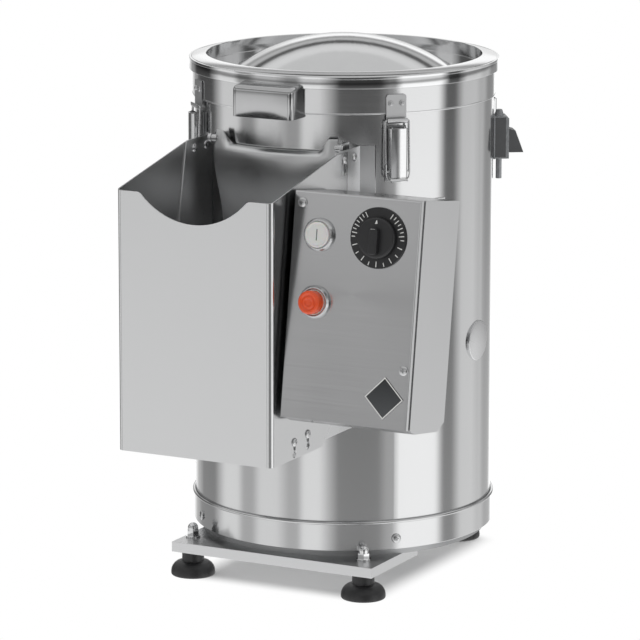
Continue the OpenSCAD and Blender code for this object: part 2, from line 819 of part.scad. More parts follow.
module badge_plate() {
    color("#3c4043") on_axis() on_panel(badge_at) translate([0, 0, touch / 2]) rotate([0, 0, 45])
        translate([-badge_half / sqrt(2), -badge_half / sqrt(2), 0]) cube([badge_half * sqrt(2), badge_half * sqrt(2), 1.2]);
}

module button_bezels() {
    nut_z = -cover_t - 2.8;
    color("#d9dadb") on_axis() for (p = [start_at, stop_at]) on_panel(p) rotate_extrude() polygon([
        [button_bore_r, -14], [collar_r, -14], [collar_r, nut_z], [bezel_r, nut_z], [bezel_r, -cover_t - touch],
        [collar_r, -cover_t - touch], [collar_r, touch / 2], [bezel_r, touch / 2], [bezel_r, 2.4],
        [bezel_r - 2.2, bezel_h], [button_bore_r, bezel_h]]);
}

module contact_blocks() {
    half = 15;
    color("#d8d8d2") on_axis() for (p = [start_at, stop_at]) on_panel(p) difference() {
        translate([-half, -half, -50]) cube([2 * half, 2 * half, 36 - touch / 2]);
        translate([0, 0, -22]) cylinder(r = button_bore_r - 0.5, h = 9);
    }
}

module start_button() {
    color("#e9e9e6") on_axis() on_panel(start_at) {
        translate([0, 0, -9]) cylinder(r = cap_r, h = 11 + bezel_h);
        translate([0, 0, -18]) cylinder(r = 4, h = 10);
    }
}

module stop_button() {
    color("#e8491d") on_axis() on_panel(stop_at) {
        translate([0, 0, -9]) cylinder(r = cap_r, h = 8 + bezel_h);
        translate([0, 0, 2]) cylinder(r = cap_r - 1.2, h = 8 + bezel_h);
        translate([0, 0, 9 + bezel_h]) cylinder(r1 = cap_r - 1.2, r2 = cap_r - 3.2, h = 3);
        translate([0, 0, -18]) cylinder(r = 4, h = 10);
    }
}

module timer_scale() {
    color("#1b1c1e") on_axis() on_panel(dial_at) tube(scale_r, knob_shaft_r + 0.5, touch, scale_t);
}

module timer_knob() {
    color("#161719") on_axis() on_panel(dial_at) {
        translate([0, 0, knob_base]) cylinder(r = knob_r, h = knob_disc_h);
        translate([-knob_bar[0] / 2, -knob_bar[1] / 2 - knob_drop, knob_base + knob_disc_h - 1]) cube(knob_bar + [0, 0, 1]);
        translate([0, 0, -16]) cylinder(r = knob_shaft_r, h = knob_base + 17);
    }
}

module timer_body() {
    half = 20;
    color("#b9b6a8") on_axis() on_panel(dial_at) difference() {
        translate([-half, -half, -45]) cube([2 * half, 2 * half, 45 - cover_t - touch]);
        translate([0, 0, -18]) cylinder(r = knob_shaft_r + pin_gap, h = 18);
    }
}

module motor_contactor() {
    width = 45;
    depth = 34;
    height = 72;
    left = box_w - 70;
    low = 45 - box_h;
    color("#e0dfda") on_axis() box_frame() {
        translate([left, box_d - box_t - depth, low]) cube([width, depth - touch, height]);
        for (z = [low + 6, low + height - 14]) translate([left + 4, box_d - box_t - depth - 5, z]) cube([width - 8, 6, 8]);
    }
}

// ---------------------------------------------------------------- chute hood

// Plan of the hood's sheet: front panel and two sides with round bends
module u_plan(half, y_front, y_back, r) {
    translate([-half, y_front + r]) square([2 * half, y_back - y_front - r]);
    translate([-half + r, y_front]) square([2 * (half - r), r + 1]);
    for (s = [-1, 1]) translate([s * (half - r), y_front + r]) circle(r = r);
}

// The scooped part of the front edge: one arc, with a fillet at each end
module scoop() {
    rise = scoop_z - hood_front_top + scoop_fillet;
    fillet_x = sqrt(pow(scoop_r + scoop_fillet, 2) - rise * rise);
    lean = atan(rise / fillet_x);
    low = arc_points([0, scoop_z], scoop_r, -180 + lean, -lean, 24);
    right = arc_points([fillet_x, hood_front_top - scoop_fillet], scoop_fillet, 180 - lean, 90, 4);
    left = arc_points([-fillet_x, hood_front_top - scoop_fillet], scoop_fillet, 90, lean, 4);
    polygon(concat(left, low, right, [[fillet_x, hood_rear_top], [-fillet_x, hood_rear_top]]));
}

module chute_hood() {
    side = [[hood_front - cut, hood_bottom], [hood_front - cut, hood_front_top], [hood_front + 1, hood_front_top],
            [hood_top_rear, hood_rear_top], [hood_rear, hood_rear_top], [hood_rear, hood_bottom + hood_low_rise],
            [hood_low_rear, hood_bottom]];
    color("#c3c5c6") on_axis() difference() {
        intersection() {
            translate([0, 0, hood_bottom]) linear_extrude(hood_rear_top - hood_bottom) difference() {
                u_plan(hood_half, hood_front, hood_rear, hood_bend_r);
                u_plan(hood_half - hood_t, hood_front + hood_t, hood_rear + cut, hood_bend_r - hood_t);
            }
            yz_prism(-hood_half - cut, 2 * (hood_half + cut), side);
        }
        translate([0, hood_front + 9, 0]) rotate([90, 0, 0]) linear_extrude(20) scoop();
        for (p = hood_bolts_yz) translate([0, p[0], p[1]]) {
            rotate([0, 90, 0]) cylinder(r = hood_bolt_r + hole_gap, h = 3 * hood_half, center = true);
            translate([-1.5 * hood_half, -hood_bolt_r - hole_gap, -slot_h]) cube([3 * hood_half, 2 * (hood_bolt_r + hole_gap), slot_h]);
            translate([0, 0, -slot_h]) rotate([0, 90, 0]) cylinder(r = slot_end_r, h = 3 * hood_half, center = true);
        }
    }
}

module hood_brackets() {
    top = hood_rear_top + 1.5;
    low = hood_bottom + 6;
    seat_y = -sqrt(seat_r * seat_r - bracket_out * bracket_out);
    toe = hood_front + 37;
    outline = [[hood_top_rear, top], [-drum_r / 2, top], [-drum_r / 2, low], [toe, low], [toe, low + 22],
               [hood_low_rear - 19, low + 57], [hood_top_rear - 18, top - 89]];
    // The wall flanges end just short of the front latches' bases
    flange_end = (drum_r + 0.2) * cos(latch_angle) - base_half * sin(latch_angle) - 1.25;
    flange_w = flange_end - bracket_out;
    color("#bfc1c2") on_axis() difference() {
        union() {
            for (s = [-1, 1]) {
                yz_prism(s > 0 ? bracket_out - bracket_t : -bracket_out, bracket_t, outline);
                intersection() {
                    tube(seat_r + bracket_t, seat_r, low, top - low);
                    translate([s > 0 ? bracket_out - bracket_t : -bracket_out - flange_w, seat_y - 4, low])
                        cube([flange_w + bracket_t, 60, top - low]);
                }
            }
        }
        translate([0, 0, low - cut]) cylinder(r = seat_r, h = top - low + 2 * cut);
        for (p = concat(hood_bolts_yz, bracket_bolts_yz)) translate([0, p[0], p[1]])
            rotate([0, 90, 0]) cylinder(r = hood_bolt_r + pin_gap, h = 3 * hood_half, center = true);
    }
}

// Dome-head bolt along -X: the head's seat is at the origin
module dome_bolt(length) {
    rod_x(hood_bolt_r, -length, 1);
    round_head(5.5, 4);
}

// Nut on a bolt's inner end
module bolt_nut() {
    difference() {
        rotate([0, 90, 0]) cylinder(r = 5.7, h = 4.5, $fn = 6);
        rod_x(hood_bolt_r + pin_gap, -cut, 6);
    }
}

module hood_bolts() {
    seat = bracket_out - bracket_t - touch;
    color("#c9cacb") on_axis() for (s = [0, 1]) mirror([s, 0, 0]) {
        for (p = hood_bolts_yz) translate([0, p[0], p[1]]) {
            translate([seat, 0, 0]) rotate([0, 0, 180]) dome_bolt(9);
            translate([hood_half + touch, 0, 0]) bolt_nut();
        }
        for (p = bracket_bolts_yz) translate([0, p[0], p[1]]) {
            translate([bracket_out, 0, 0]) dome_bolt(8);
            translate([seat - 4.5, 0, 0]) bolt_nut();
        }
    }
}

// ---------------------------------------------------------------- outlet door

module door_lugs() {
    low = lip_z - 14;
    high = door_axis_z + 11.5;
    corner = 7;
    outline = concat([[-120, low], [lug_front + 12, low], [lug_front, low + 14]],
                     arc_points([lug_front + corner, high - corner], corner, 180, 90, 6), [[-120, high]]);
    color("#cdcecf") on_axis() difference() {
        for (s = [-1, 1]) {
            yz_prism(s * lug_x - lug_t / 2, lug_t, outline);
            intersection() {
                tube(seat_r + lug_t, seat_r, low, high - low);
                translate([s > 0 ? lug_x - 7 : -lug_x, -drum_r, low]) cube([7, drum_r, high - low]);
            }
        }
        translate([0, 0, low - cut]) cylinder(r = seat_r, h = high - low + 2 * cut);
        translate([0, door_axis_y, door_axis_z]) rotate([0, 90, 0])
            cylinder(r = door_pin_r + 0.02, h = 3 * lug_x, center = true);
    }
}

module outlet_door() {
    out = door_in + door_t;
    flare_in = lip_r - door_t;
    ear_x = door_half - lug_t;
    ear = concat(arc_points([door_axis_y, door_axis_z], door_ear_r, 205, -30, 12),
                 [[door_axis_y + 5, lip_z - 6], [door_axis_y - 12, lip_z + 6], [door_axis_y - 20, lip_z + 12]]);
    color("#bdbfc1") on_axis() difference() {
        union() {
            intersection() {
                rotate_extrude() {
                    translate([door_in, door_bottom]) square([door_t, lip_z - door_bottom]);
                    translate([door_in + lip_r, lip_z]) difference() {
                        circle(r = lip_r);
                        circle(r = flare_in);
                        translate([0, -lip_r - cut]) square([lip_r + cut, 2 * (lip_r + cut)]);
                        translate([-lip_r - cut, -lip_r - cut]) square([2 * (lip_r + cut), lip_r + cut]);
                    }
                }
                translate([-door_half, -drum_r - 60, door_bottom - cut])
                    cube([2 * door_half, drum_r, lip_z - door_bottom + 60]);
            }
            difference() {
                for (s = [-1, 1]) yz_prism(s > 0 ? ear_x : -door_half, lug_t, ear);
                translate([0, 0, door_bottom]) cylinder(r = door_in, h = lip_z - door_bottom + 60);
            }
        }
        translate([0, door_axis_y, door_axis_z]) rotate([0, 90, 0])
            cylinder(r = door_pin_r + pin_gap, h = 3 * door_half, center = true);
    }
}

module hinge_pins() {
    start = door_half - lug_t - 3;
    head = lug_x + lug_t / 2 + touch;
    color("#b9bbbd") on_axis() {
        for (s = [-1, 1]) translate([0, door_axis_y, door_axis_z]) rotate([0, s * 90, 0]) {
            translate([0, 0, start]) cylinder(r = door_pin_r, h = head + 1 - start);
            translate([0, 0, head]) cylinder(r = door_pin_r + 2, h = 2);
            translate([0, 0, door_half + 0.4]) cylinder(r = door_pin_r + 1.5, h = lug_x - lug_t / 2 - touch - door_half - 0.4);
        }
        for (a = latch_angles) at_angle(a) translate([pivot_x, 0, pivot_z]) rod_y(latch_pin_r, lever_half + 0.2);
    }
}

// ---------------------------------------------------------------- latches

module latch_bases() {
    low = pivot_z - 60;
    high = pivot_z + ear_r;
    inner = drum_r + 0.2;
    root = inner + 0.5;
    // The ear's top slopes so that the lever's plate lies along it when the latch is wide open
    root_z = pivot_z + (ear_r - (root - pivot_x) * cos(lever_turn)) / sin(lever_turn);
    ear = concat(arc_points([pivot_x, pivot_z], ear_r, -60, lever_turn, 10), [[root, root_z], [root, pivot_z - 14]]);
    color("#c2c4c6") on_axis() for (a = latch_angles) at_angle(a) difference() {
        union() {
            translate([inner, -base_half, low]) cube([base_t, 2 * base_half, high - low]);
            for (s = [-1, 1]) translate([0, s > 0 ? ear_in + ear_t : -ear_in, 0]) rotate([90, 0, 0])
                linear_extrude(ear_t) polygon(ear);
        }
        translate([pivot_x, 0, pivot_z]) rod_y(latch_pin_r + 0.02, base_half + cut);
        translate([0, 0, low - cut]) cylinder(r = seat_r, h = high - low + 2 * cut);
    }
}

// Pressed channel: front plate, two flanges with the pivot and bail holes, and a curled end
module latch_lever(a) {
    flange_in = pivot_x - 3;
    flange_t = 1.3;
    curl = 3;
    flange = concat(arc_points([pivot_x, pivot_z], pivot_r, 180, 90, 6),
                    [[lever_x + 0.5, lever_top], [lever_x + 0.5, bail_z - 6], [flange_in, bail_z - 4]]);
    color("#d6d7d9") on_axis() at_angle(a) difference() {
        union() {
            translate([lever_x, -lever_half, lever_bottom + curl])
                cube([lever_t, 2 * lever_half, lever_top - lever_bottom - curl]);
            for (s = [-1, 1]) translate([0, s > 0 ? lever_half : -lever_half + flange_t, 0]) rotate([90, 0, 0])
                linear_extrude(flange_t) polygon(flange);
            translate([lever_x + curl, 0, lever_bottom + curl]) intersection() {
                difference() {
                    rod_y(curl, lever_half);
                    rod_y(curl - lever_t, lever_half + cut);
                }
                translate([-curl, -lever_half, -curl]) cube([curl, 2 * lever_half, curl]);
            }
        }
        translate([pivot_x, 0, pivot_z]) rod_y(latch_pin_r + pin_gap, lever_half + cut);
        translate([bail_x, 0, bail_z]) rod_y(wire_r + pin_gap, lever_half + cut);
    }
}

// Quarter bend of the wire, from +X to +Y
module wire_corner() {
    rotate_extrude(angle = 90) translate([wire_bend, 0]) circle(r = wire_r);
}

// Bent wire: cross wire in the catch's hook, two side wires, ends turned into the lever
module wire_bail(a) {
    rise = wire_z - bail_z;
    run = hook_x - bail_x;
    side = sqrt(rise * rise + run * run);
    lean = atan(run / rise);
    end_in = lever_half - 2.2;
    straight = bail_half - wire_bend;
    color("#cdced0") on_axis() at_angle(a) translate([bail_x, 0, bail_z]) rotate([0, lean, 0]) {
        translate([0, 0, side]) rod_y(wire_r, straight);
        for (s = [0, 1]) mirror([0, s, 0]) rotate([90, 0, 90]) {
            translate([straight, wire_bend, 0]) rotate([0, 0, -90]) wire_corner();
            translate([straight, side - wire_bend, 0]) wire_corner();
            translate([bail_half, wire_bend, 0]) rotate([-90, 0, 0]) cylinder(r = wire_r, h = side - 2 * wire_bend);
            translate([end_in, 0, 0]) rod_x(wire_r, 0, straight - end_in);
        }
    }
}

module latch_catches() {
    round = 3;
    centre = [hook_x, hook_z];
    out_r = hook_r + catch_t;
    outline = concat([[catch_in, catch_top], [catch_in, hook_z]], arc_points(centre, out_r, 180, 360, 12),
                     [[hook_x + out_r, hook_z + hook_lip], [hook_x + hook_r, hook_z + hook_lip]],
                     arc_points(centre, hook_r, 360, 180, 12), [[catch_in + catch_t, catch_top]]);
    shield = concat([[-catch_half, hook_z - 9], [catch_half, hook_z - 9]],
                    arc_points([catch_half - round, catch_top - round], round, 0, 90, 4),
                    arc_points([round - catch_half, catch_top - round], round, 90, 180, 4));
    color("#cfd1d3") on_axis() for (a = latch_angles) at_angle(a) {
        difference() {
            intersection() {
                translate([0, catch_half, 0]) rotate([90, 0, 0]) linear_extrude(2 * catch_half) polygon(outline);
                yz_prism(drum_r, 20, shield);
            }
            for (s = [-1, 1]) translate([0, s * rivet_y, rivet_z]) rod_x(rivet_r + hole_gap, catch_in - cut, catch_in + 9);
        }
        for (s = [-1, 1]) translate([catch_in + catch_t, s * rivet_y, rivet_z]) {
            rod_x(rivet_r, -3, 0.5);
            round_head(3.2, 1.8);
        }
    }
}

module front_right_lever() { latch_lever(latch_angles[0]); }
module front_left_lever() { latch_lever(latch_angles[1]); }
module rear_right_lever() { latch_lever(latch_angles[2]); }
module rear_left_lever() { latch_lever(latch_angles[3]); }
module front_right_bail() { wire_bail(latch_angles[0]); }
module front_left_bail() { wire_bail(latch_angles[1]); }
module rear_right_bail() { wire_bail(latch_angles[2]); }
module rear_left_bail() { wire_bail(latch_angles[3]); }

// ---------------------------------------------------------------- lid

module lid_dish() {
    inner = rim_r - rim_w;
    edge = 3;
    color("#d3d4d6") on_axis() {
        rotate_extrude() polygon([
            [inner, rim_z], [rim_r, rim_z], [rim_r, rim_z - edge], [rim_r - lid_t, rim_z - edge],
            [rim_r - lid_t, rim_z - lid_t], [inner + lid_t, rim_z - lid_t], [inner + lid_t, dish_z - lid_t],
            [dome_r - 2, dish_z - lid_t], [dome_r - 2, dish_z], [inner, dish_z]]);
        intersection() {
            translate([0, 0, dome_centre_z]) difference() {
                sphere(r = dome_sphere_r);
                sphere(r = dome_sphere_r - lid_t);
            }
            translate([0, 0, dish_z - lid_t]) cylinder(r = dome_r, h = dome_h + lid_t + cut);
        }
    }
}

module lid_skirt() {
    shelf = bead_z + lid_t;
    bead_top = rim_z - lid_t - touch;
    color("#c9cbcd") on_axis() difference() {
        rotate_extrude() polygon([
            [skirt_in, seam_z], [skirt_out, seam_z], [skirt_out, bead_z], [bead_r - 2, bead_z], [bead_r - 0.5, bead_z + 0.5],
            [bead_r - 0.5, rim_z - 3 - touch], [rim_r - lid_t - touch, rim_z - 3 - touch], [rim_r - lid_t - touch, bead_top],
            [rim_r - 2 * lid_t - 1, bead_top], [rim_r - 2 * lid_t - 1, shelf], [skirt_in, shelf]]);
        for (a = latch_angles, s = [-1, 1]) at_angle(a) translate([0, s * rivet_y, rivet_z])
            rod_x(rivet_r + hole_gap, drum_r - 9, drum_r + 9);
    }
}

module lid_seal() {
    color("#2c2c2c") on_axis() tube(skirt_in - touch, drum_in - 4, seal_z, dish_z - lid_t - touch - seal_z);
}

// Pressed box, open below, whose rear edge follows the skirt
module lid_grip() {
    front = -(skirt_out + grip_reach);
    top = grip_z + grip_h;
    brow = [[front, top - 8], [front + 0.7, top - 6.3], [front + 2.8, top - 4.8]];
    back = -drum_r + 9;
    outer = concat([[back, grip_z], [front, grip_z]], brow, [[-bead_r, top], [back, top]]);
    inner = concat([[back + cut, grip_z - cut], [front + lid_t, grip_z - cut]], [for (p = brow) p + [lid_t, -lid_t * 0.8]],
                   [[-bead_r, top - lid_t], [back + cut, top - lid_t]]);
    color("#cfd0d2") on_axis() difference() {
        yz_prism(-grip_half, 2 * grip_half, outer);
        yz_prism(-grip_half + lid_t, 2 * (grip_half - lid_t), inner);
        translate([0, 0, grip_z - cut]) cylinder(r = skirt_out + touch, h = grip_h + 9);
        translate([0, 0, bead_z - touch]) cylinder(r = bead_r + touch, h = grip_h);
    }
}

rubber_feet();
foot_studs();
cap_nuts();
front_foot_beam();
rear_foot_beam();
base_plate();
base_ring();
panel_screws();
drum_shell();
chamber_floor();
abrasive_liner();
drain_spout();
bearing_housing();
shaft_bearings();
shaft_seal();
motor_plate();
motor_housing();
run_capacitor();
drive_belt();
blanking_plug();
valve_coil();
valve_body();
cable_gland();
box_bracket();
box_shell();
box_cover();
badge_plate();
button_bezels();
contact_blocks();
timer_body();
timer_scale();
motor_contactor();
hood_brackets();
hood_bolts();
chute_hood();
door_lugs();
hinge_pins();
latch_bases();
lid_dish();
lid_skirt();
lid_seal();
lid_grip();
latch_catches();
front_right_lever();
front_left_lever();
rear_right_lever();
rear_left_lever();
front_right_bail();
front_left_bail();
rear_right_bail();
rear_left_bail();
outlet_door();
timer_knob();
start_button();
stop_button();
abrasive_disc();
drive_shaft();
driven_pulley();
motor_pulley();
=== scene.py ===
"""Dresses a bench-top electric potato peeler: finishes for every sheet, casting and moulding,
the small pieces that the solid model leaves plain, and the studio it stands in.

Lengths inside the mesh functions are millimetres about the drum's axis, front at -Y; a piece is
scaled to metres and set in place when it is made. An angle is counted from the front to the right.
"""

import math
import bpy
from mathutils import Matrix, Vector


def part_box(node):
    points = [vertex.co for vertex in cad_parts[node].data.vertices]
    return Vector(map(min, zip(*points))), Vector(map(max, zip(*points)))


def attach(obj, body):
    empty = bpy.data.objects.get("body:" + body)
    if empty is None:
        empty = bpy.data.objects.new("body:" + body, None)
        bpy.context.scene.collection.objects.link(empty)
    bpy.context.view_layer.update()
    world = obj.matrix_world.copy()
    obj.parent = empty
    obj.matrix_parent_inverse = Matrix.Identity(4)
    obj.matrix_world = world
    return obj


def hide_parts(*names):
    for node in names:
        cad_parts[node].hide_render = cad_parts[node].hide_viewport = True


bl_info = {
    "name": "Potato Peeler",
    "version": (1, 0, 0),
    "blender": (4, 5, 0),
    "location": "View3D > Sidebar > Peeler",
    "description": "Finishes, dial, buttons, latches, grip and studio of a bench-top potato peeler",
    "category": "Object",
}

import bmesh
import bpy
from bpy.props import FloatProperty, FloatVectorProperty, IntProperty, PointerProperty
from bpy.types import Operator, Panel, PropertyGroup
from mathutils import Matrix, Vector

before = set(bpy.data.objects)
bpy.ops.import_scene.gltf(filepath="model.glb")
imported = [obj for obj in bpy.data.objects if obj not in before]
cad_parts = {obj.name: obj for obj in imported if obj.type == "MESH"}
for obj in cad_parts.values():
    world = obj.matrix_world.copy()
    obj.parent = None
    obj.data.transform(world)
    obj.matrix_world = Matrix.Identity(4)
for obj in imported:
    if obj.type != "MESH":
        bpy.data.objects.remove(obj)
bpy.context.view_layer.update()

MM = 0.001

drum_low, drum_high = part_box("drum_shell")
AXIS = Vector(((drum_low.x + drum_high.x) / 2, (drum_low.y + drum_high.y) / 2, 0))

# The four toggle latches and their angles from the front to the right
LATCHES = {"front_right": 46.5, "front_left": -43.5, "rear_right": 136.5, "rear_left": -133.5}

# The control panel, in millimetres and degrees: its upper left corner, its backward lean, and
# where its buttons, dial, badge and screws sit, to the right of that corner and up from it
PANEL_CORNER = Vector((104, -317.7, 502.5))
PANEL_LEAN = 8.4
START_AT = (33, -46.5)
STOP_AT = (33, -120.5)
DIAL_AT = (105, -44)
BADGE_AT = (125, -217)
PANEL_SCREWS = ((9.5, -12.7), (146, -185))
RING_SCREW_ANGLES = (-132.5, -42.5, 47.5, 137.5)

# Lays a prism down along +X, with its outline's x along +Y and its y up
ALONG_X = Matrix(((0, 0, 1, 0), (1, 0, 0, 0), (0, 1, 0, 0), (0, 0, 0, 1)))


# ---------------- settings

# What all colours and all lengths have in common
COLOUR = {"subtype": "COLOR", "min": 0, "max": 1}
LENGTH = {"subtype": "DISTANCE", "unit": "LENGTH"}


class SteelSettings(PropertyGroup):
    """Colours and roughness of the steel sheets"""

    shell: FloatVectorProperty(
        name="Drum steel", description="Brushed sheet of the drum, skirt and base ring",
        default=(0.58, 0.583, 0.586), **COLOUR)
    shell_roughness: FloatProperty(
        name="Drum roughness", description="Mean roughness of the drum's brushed sheet",
        min=0, max=1, default=0.16)
    hood: FloatVectorProperty(
        name="Hood steel", description="Brushed sheet of the chute hood",
        default=(0.60, 0.603, 0.607), **COLOUR)
    sheet: FloatVectorProperty(
        name="Folded steel", description="Satin beams, brackets, bolts, bezels and latch catches",
        default=(0.57, 0.573, 0.577), **COLOUR)
    panel: FloatVectorProperty(
        name="Control box steel", description="Satin sheet of the control box",
        default=(0.583, 0.586, 0.591), **COLOUR)
    bright: FloatVectorProperty(
        name="Bright steel", description="Polished lid, grip, door, latch levers and cap nuts",
        default=(0.66, 0.664, 0.668), **COLOUR)
    dull: FloatVectorProperty(
        name="Dull steel", description="Mill-finish plates inside and under the machine",
        default=(0.42, 0.425, 0.43), **COLOUR)
    edge_radius: FloatProperty(
        name="Sheet edge", description="Rounding of a sheet's cut edge",
        min=0.0001, max=0.002, default=0.0005, **LENGTH)
    fold_radius: FloatProperty(
        name="Sheet fold", description="Rounding of a folded corner",
        min=0.0002, max=0.004, default=0.0011, **LENGTH)


class TrimSettings(PropertyGroup):
    """Colours of the plastic, rubber and painted pieces"""

    dial: FloatVectorProperty(
        name="Dial black", description="Moulded scale and knob",
        default=(0.012, 0.012, 0.013), **COLOUR)
    mark: FloatVectorProperty(
        name="Marks", description="Printed marks of the dial and the badge's border",
        default=(0.80, 0.80, 0.78), **COLOUR)
    start: FloatVectorProperty(
        name="Start cap", description="Milky cap of the start button",
        default=(0.78, 0.78, 0.76), **COLOUR)
    stop: FloatVectorProperty(
        name="Stop cap", description="Red cap of the stop button",
        default=(0.84, 0.082, 0.006), **COLOUR)
    rubber: FloatVectorProperty(
        name="Rubber", description="Feet, seals and belt",
        default=(0.018, 0.018, 0.019), **COLOUR)
    # The badge plate's two colours are painted reflection on its bare face: darkest at the top, lighter
    # at the foot
    badge_painted_dark_top: FloatVectorProperty(
        name="Badge, upper shade", description="Upper shade of the bare badge plate",
        default=(0.020, 0.022, 0.024), **COLOUR)
    badge_painted_light_foot: FloatVectorProperty(
        name="Badge, lower shade", description="Lower shade of the bare badge plate",
        default=(0.085, 0.09, 0.095), **COLOUR)


class DialSettings(PropertyGroup):
    """Marks and knob of the timer"""

    scale_radius: FloatProperty(
        name="Mark circle", description="Outer radius of the circle of marks",
        min=0.02, max=0.033, default=0.0318, **LENGTH)
    long_mark: FloatProperty(
        name="Long mark", description="Length of a long mark",
        min=0.002, max=0.009, default=0.0062, **LENGTH)
    short_mark: FloatProperty(
        name="Short mark", description="Length of a short mark",
        min=0.001, max=0.008, default=0.0042, **LENGTH)
    first_mark: FloatProperty(
        name="First mark", description="Angle between the top of the scale and its first mark",
        subtype="ANGLE", min=0.1, max=1.2, default=math.radians(32))
    coarse_marks: IntProperty(
        name="Coarse marks", description="Number of wide-spaced marks round the scale's lower part",
        min=3, max=12, default=9)


class StudioSettings(PropertyGroup):
    """Camera, light and floor"""

    azimuth: FloatProperty(
        name="Camera azimuth", description="Angle of the camera from the front to the right",
        subtype="ANGLE", default=math.radians(27.458))
    elevation: FloatProperty(
        name="Camera elevation", description="Angle of the camera above the horizon",
        subtype="ANGLE", default=math.radians(11.654))
    distance: FloatProperty(
        name="Camera distance", description="Distance from the aim point to the camera",
        default=4.9538, **LENGTH)
    roll: FloatProperty(
        name="Camera roll", description="Turn of the camera about its own line of sight",
        subtype="ANGLE", default=math.radians(0.083))
    lens: FloatProperty(
        name="Focal length", description="Focal length on a 36 mm sensor, in millimetres",
        min=20, max=400, default=235.6)
    key_power: FloatProperty(
        name="Overhead lamp", description="Power of the large overhead lamp",
        unit="POWER", min=0, max=500, default=34)
    surround: FloatProperty(
        name="Surround", description="Plain light from all sides on matte surfaces",
        min=0, max=2, default=0.62)
    floor_radius: FloatProperty(
        name="Floor radius", description="Radius of the pale floor",
        min=0.5, max=4, default=1.3, **LENGTH)


SETTINGS = {
    "peeler_steel": SteelSettings,
    "peeler_trim": TrimSettings,
    "peeler_dial": DialSettings,
    "peeler_studio": StudioSettings,
}


def setting(group):
    return getattr(bpy.context.scene, "peeler_" + group)


# ---------------- places


def sine(degrees):
    return math.sin(math.radians(degrees))


def cosine(degrees):
    return math.cos(math.radians(degrees))


def turn_about(axis, degrees):
    return Matrix.Rotation(math.radians(degrees), 4, axis)


def direction(turn, rise):
    """Unit vector at an angle from the front to the right and at a height, both in radians."""
    return Vector((math.sin(turn) * math.cos(rise), -math.cos(turn) * math.cos(rise), math.sin(rise)))


def about_axis():
    return Matrix.Translation(AXIS)


def at_angle(angle):
    """Local +X points out of the drum at this angle, +Y along its wall and +Z up."""
    return about_axis() @ turn_about("Z", angle - 90)


def on_panel(spot):
    """Local +X runs right across the control panel, +Y up it and +Z out of it."""
    across, up = spot
    corner = Matrix.Translation(AXIS + PANEL_CORNER * MM)
    move = Matrix.Translation(Vector((across, 0, up)) * MM)
    return corner @ turn_about("X", -PANEL_LEAN) @ move @ turn_about("X", 90)


# ---------------- finishes

made_finishes = {}


def shared(build):
    """Keeps one copy of each finish, named after the function that builds it."""
    def find():
        name = build.__name__
        if name not in made_finishes:
            made_finishes[name] = build()
            made_finishes[name].name = name
        return made_finishes[name]
    return find


def new_finish(**sockets):
    finish = bpy.data.materials.new("finish")
    finish.use_nodes = True
    shader = finish.node_tree.nodes["Principled BSDF"]
    for socket, value in sockets.items():
        shader.inputs[socket.replace("_", " ")].default_value = value
    return finish


def colour4(colour):
    return (*colour, 1.0)


def node(finish, kind, **values):
    """Adds a shader node to a finish or the world; a value goes to its socket or its setting."""
    made = finish.node_tree.nodes.new("ShaderNode" + kind)
    for key, value in values.items():
        if key in made.inputs:
            made.inputs[key].default_value = value
        else:
            setattr(made, key, value)
    return made


def link(source, target):
    source.id_data.links.new(source, target)


def object_point(finish, stretch=(1, 1, 1)):
    """The surface point in the machine's own frame, stretched along its axes."""
    coords = node(finish, "TexCoord")
    mapping = node(finish, "Mapping", Scale=stretch)
    link(coords.outputs["Object"], mapping.inputs["Vector"])
    return mapping.outputs["Vector"]


def noise(finish, stretch=(1, 1, 1), scale=1.0, detail=2.0, roughness=0.5):
    texture = node(finish, "TexNoise", Scale=scale, Detail=detail, Roughness=roughness)
    link(object_point(finish, stretch), texture.inputs["Vector"])
    return texture.outputs["Fac"]


def spread(finish, value, low, high, into=(0.3, 0.7)):
    """Maps the values between the two numbers of into to those between low and high."""
    ranged = node(finish, "MapRange")
    for socket, number in zip(("From Min", "From Max", "To Min", "To Max"), (*into, low, high)):
        ranged.inputs[socket].default_value = number
    link(value, ranged.inputs["Value"])
    return ranged.outputs["Result"]


def combined(finish, operation, first, second):
    """Works one number out of two; the second is a socket or a plain number."""
    made = node(finish, "Math", operation=operation)
    link(first, made.inputs[0])
    if isinstance(second, float):
        made.inputs[1].default_value = second
    else:
        link(second, made.inputs[1])
    return made.outputs[0]


def shader_input(finish, socket):
    return finish.node_tree.nodes["Principled BSDF"].inputs[socket]


def vary_roughness(finish, value, low, high):
    link(spread(finish, value, low, high), shader_input(finish, "Roughness"))


def vary_colour(finish, value, dark, light, into=(0.3, 0.7)):
    """Colours the surface between dark and light by a value."""
    mixed = node(finish, "Mix", data_type="RGBA")
    first, second = [socket for socket in mixed.inputs if socket.type == "RGBA"]
    first.default_value = colour4(dark)
    second.default_value = colour4(light)
    link(spread(finish, value, 0, 1, into), mixed.inputs["Factor"])
    result = next(socket for socket in mixed.outputs if socket.type == "RGBA")
    link(result, shader_input(finish, "Base Color"))


def relief(finish, value, depth):
    bump = node(finish, "Bump", Strength=1.0, Distance=depth)
    link(value, bump.inputs["Height"])
    link(bump.outputs["Normal"], shader_input(finish, "Normal"))


def tinted(colour, factor):
    return tuple(min(1.0, channel * factor) for channel in colour)


def brushed_metal(colour, roughness, lines, smear=0.0, turn=0.0, depth=0.0000015, wear=0.03):
    """Metal with fine brush lines: lines gives how fast the grain changes along X, Y and Z."""
    finish = new_finish(Metallic=1.0, Anisotropic=smear, Anisotropic_Rotation=turn)
    grain = noise(finish, lines, detail=3.0, roughness=0.65)
    cloud = noise(finish, (7, 7, 5), detail=3.0)
    mean = combined(finish, "MULTIPLY", combined(finish, "ADD", grain, cloud), 0.5)
    vary_roughness(finish, mean, roughness * 0.82, roughness * 1.18)
    vary_colour(finish, mean, tinted(colour, 1 - wear), tinted(colour, 1 + wear))
    relief(finish, grain, depth)
    return finish


# Brush lines that run round the drum, and level ones that run along X
ROUND_LINES = (9, 9, 1400)
LEVEL_LINES = (5, 900, 900)


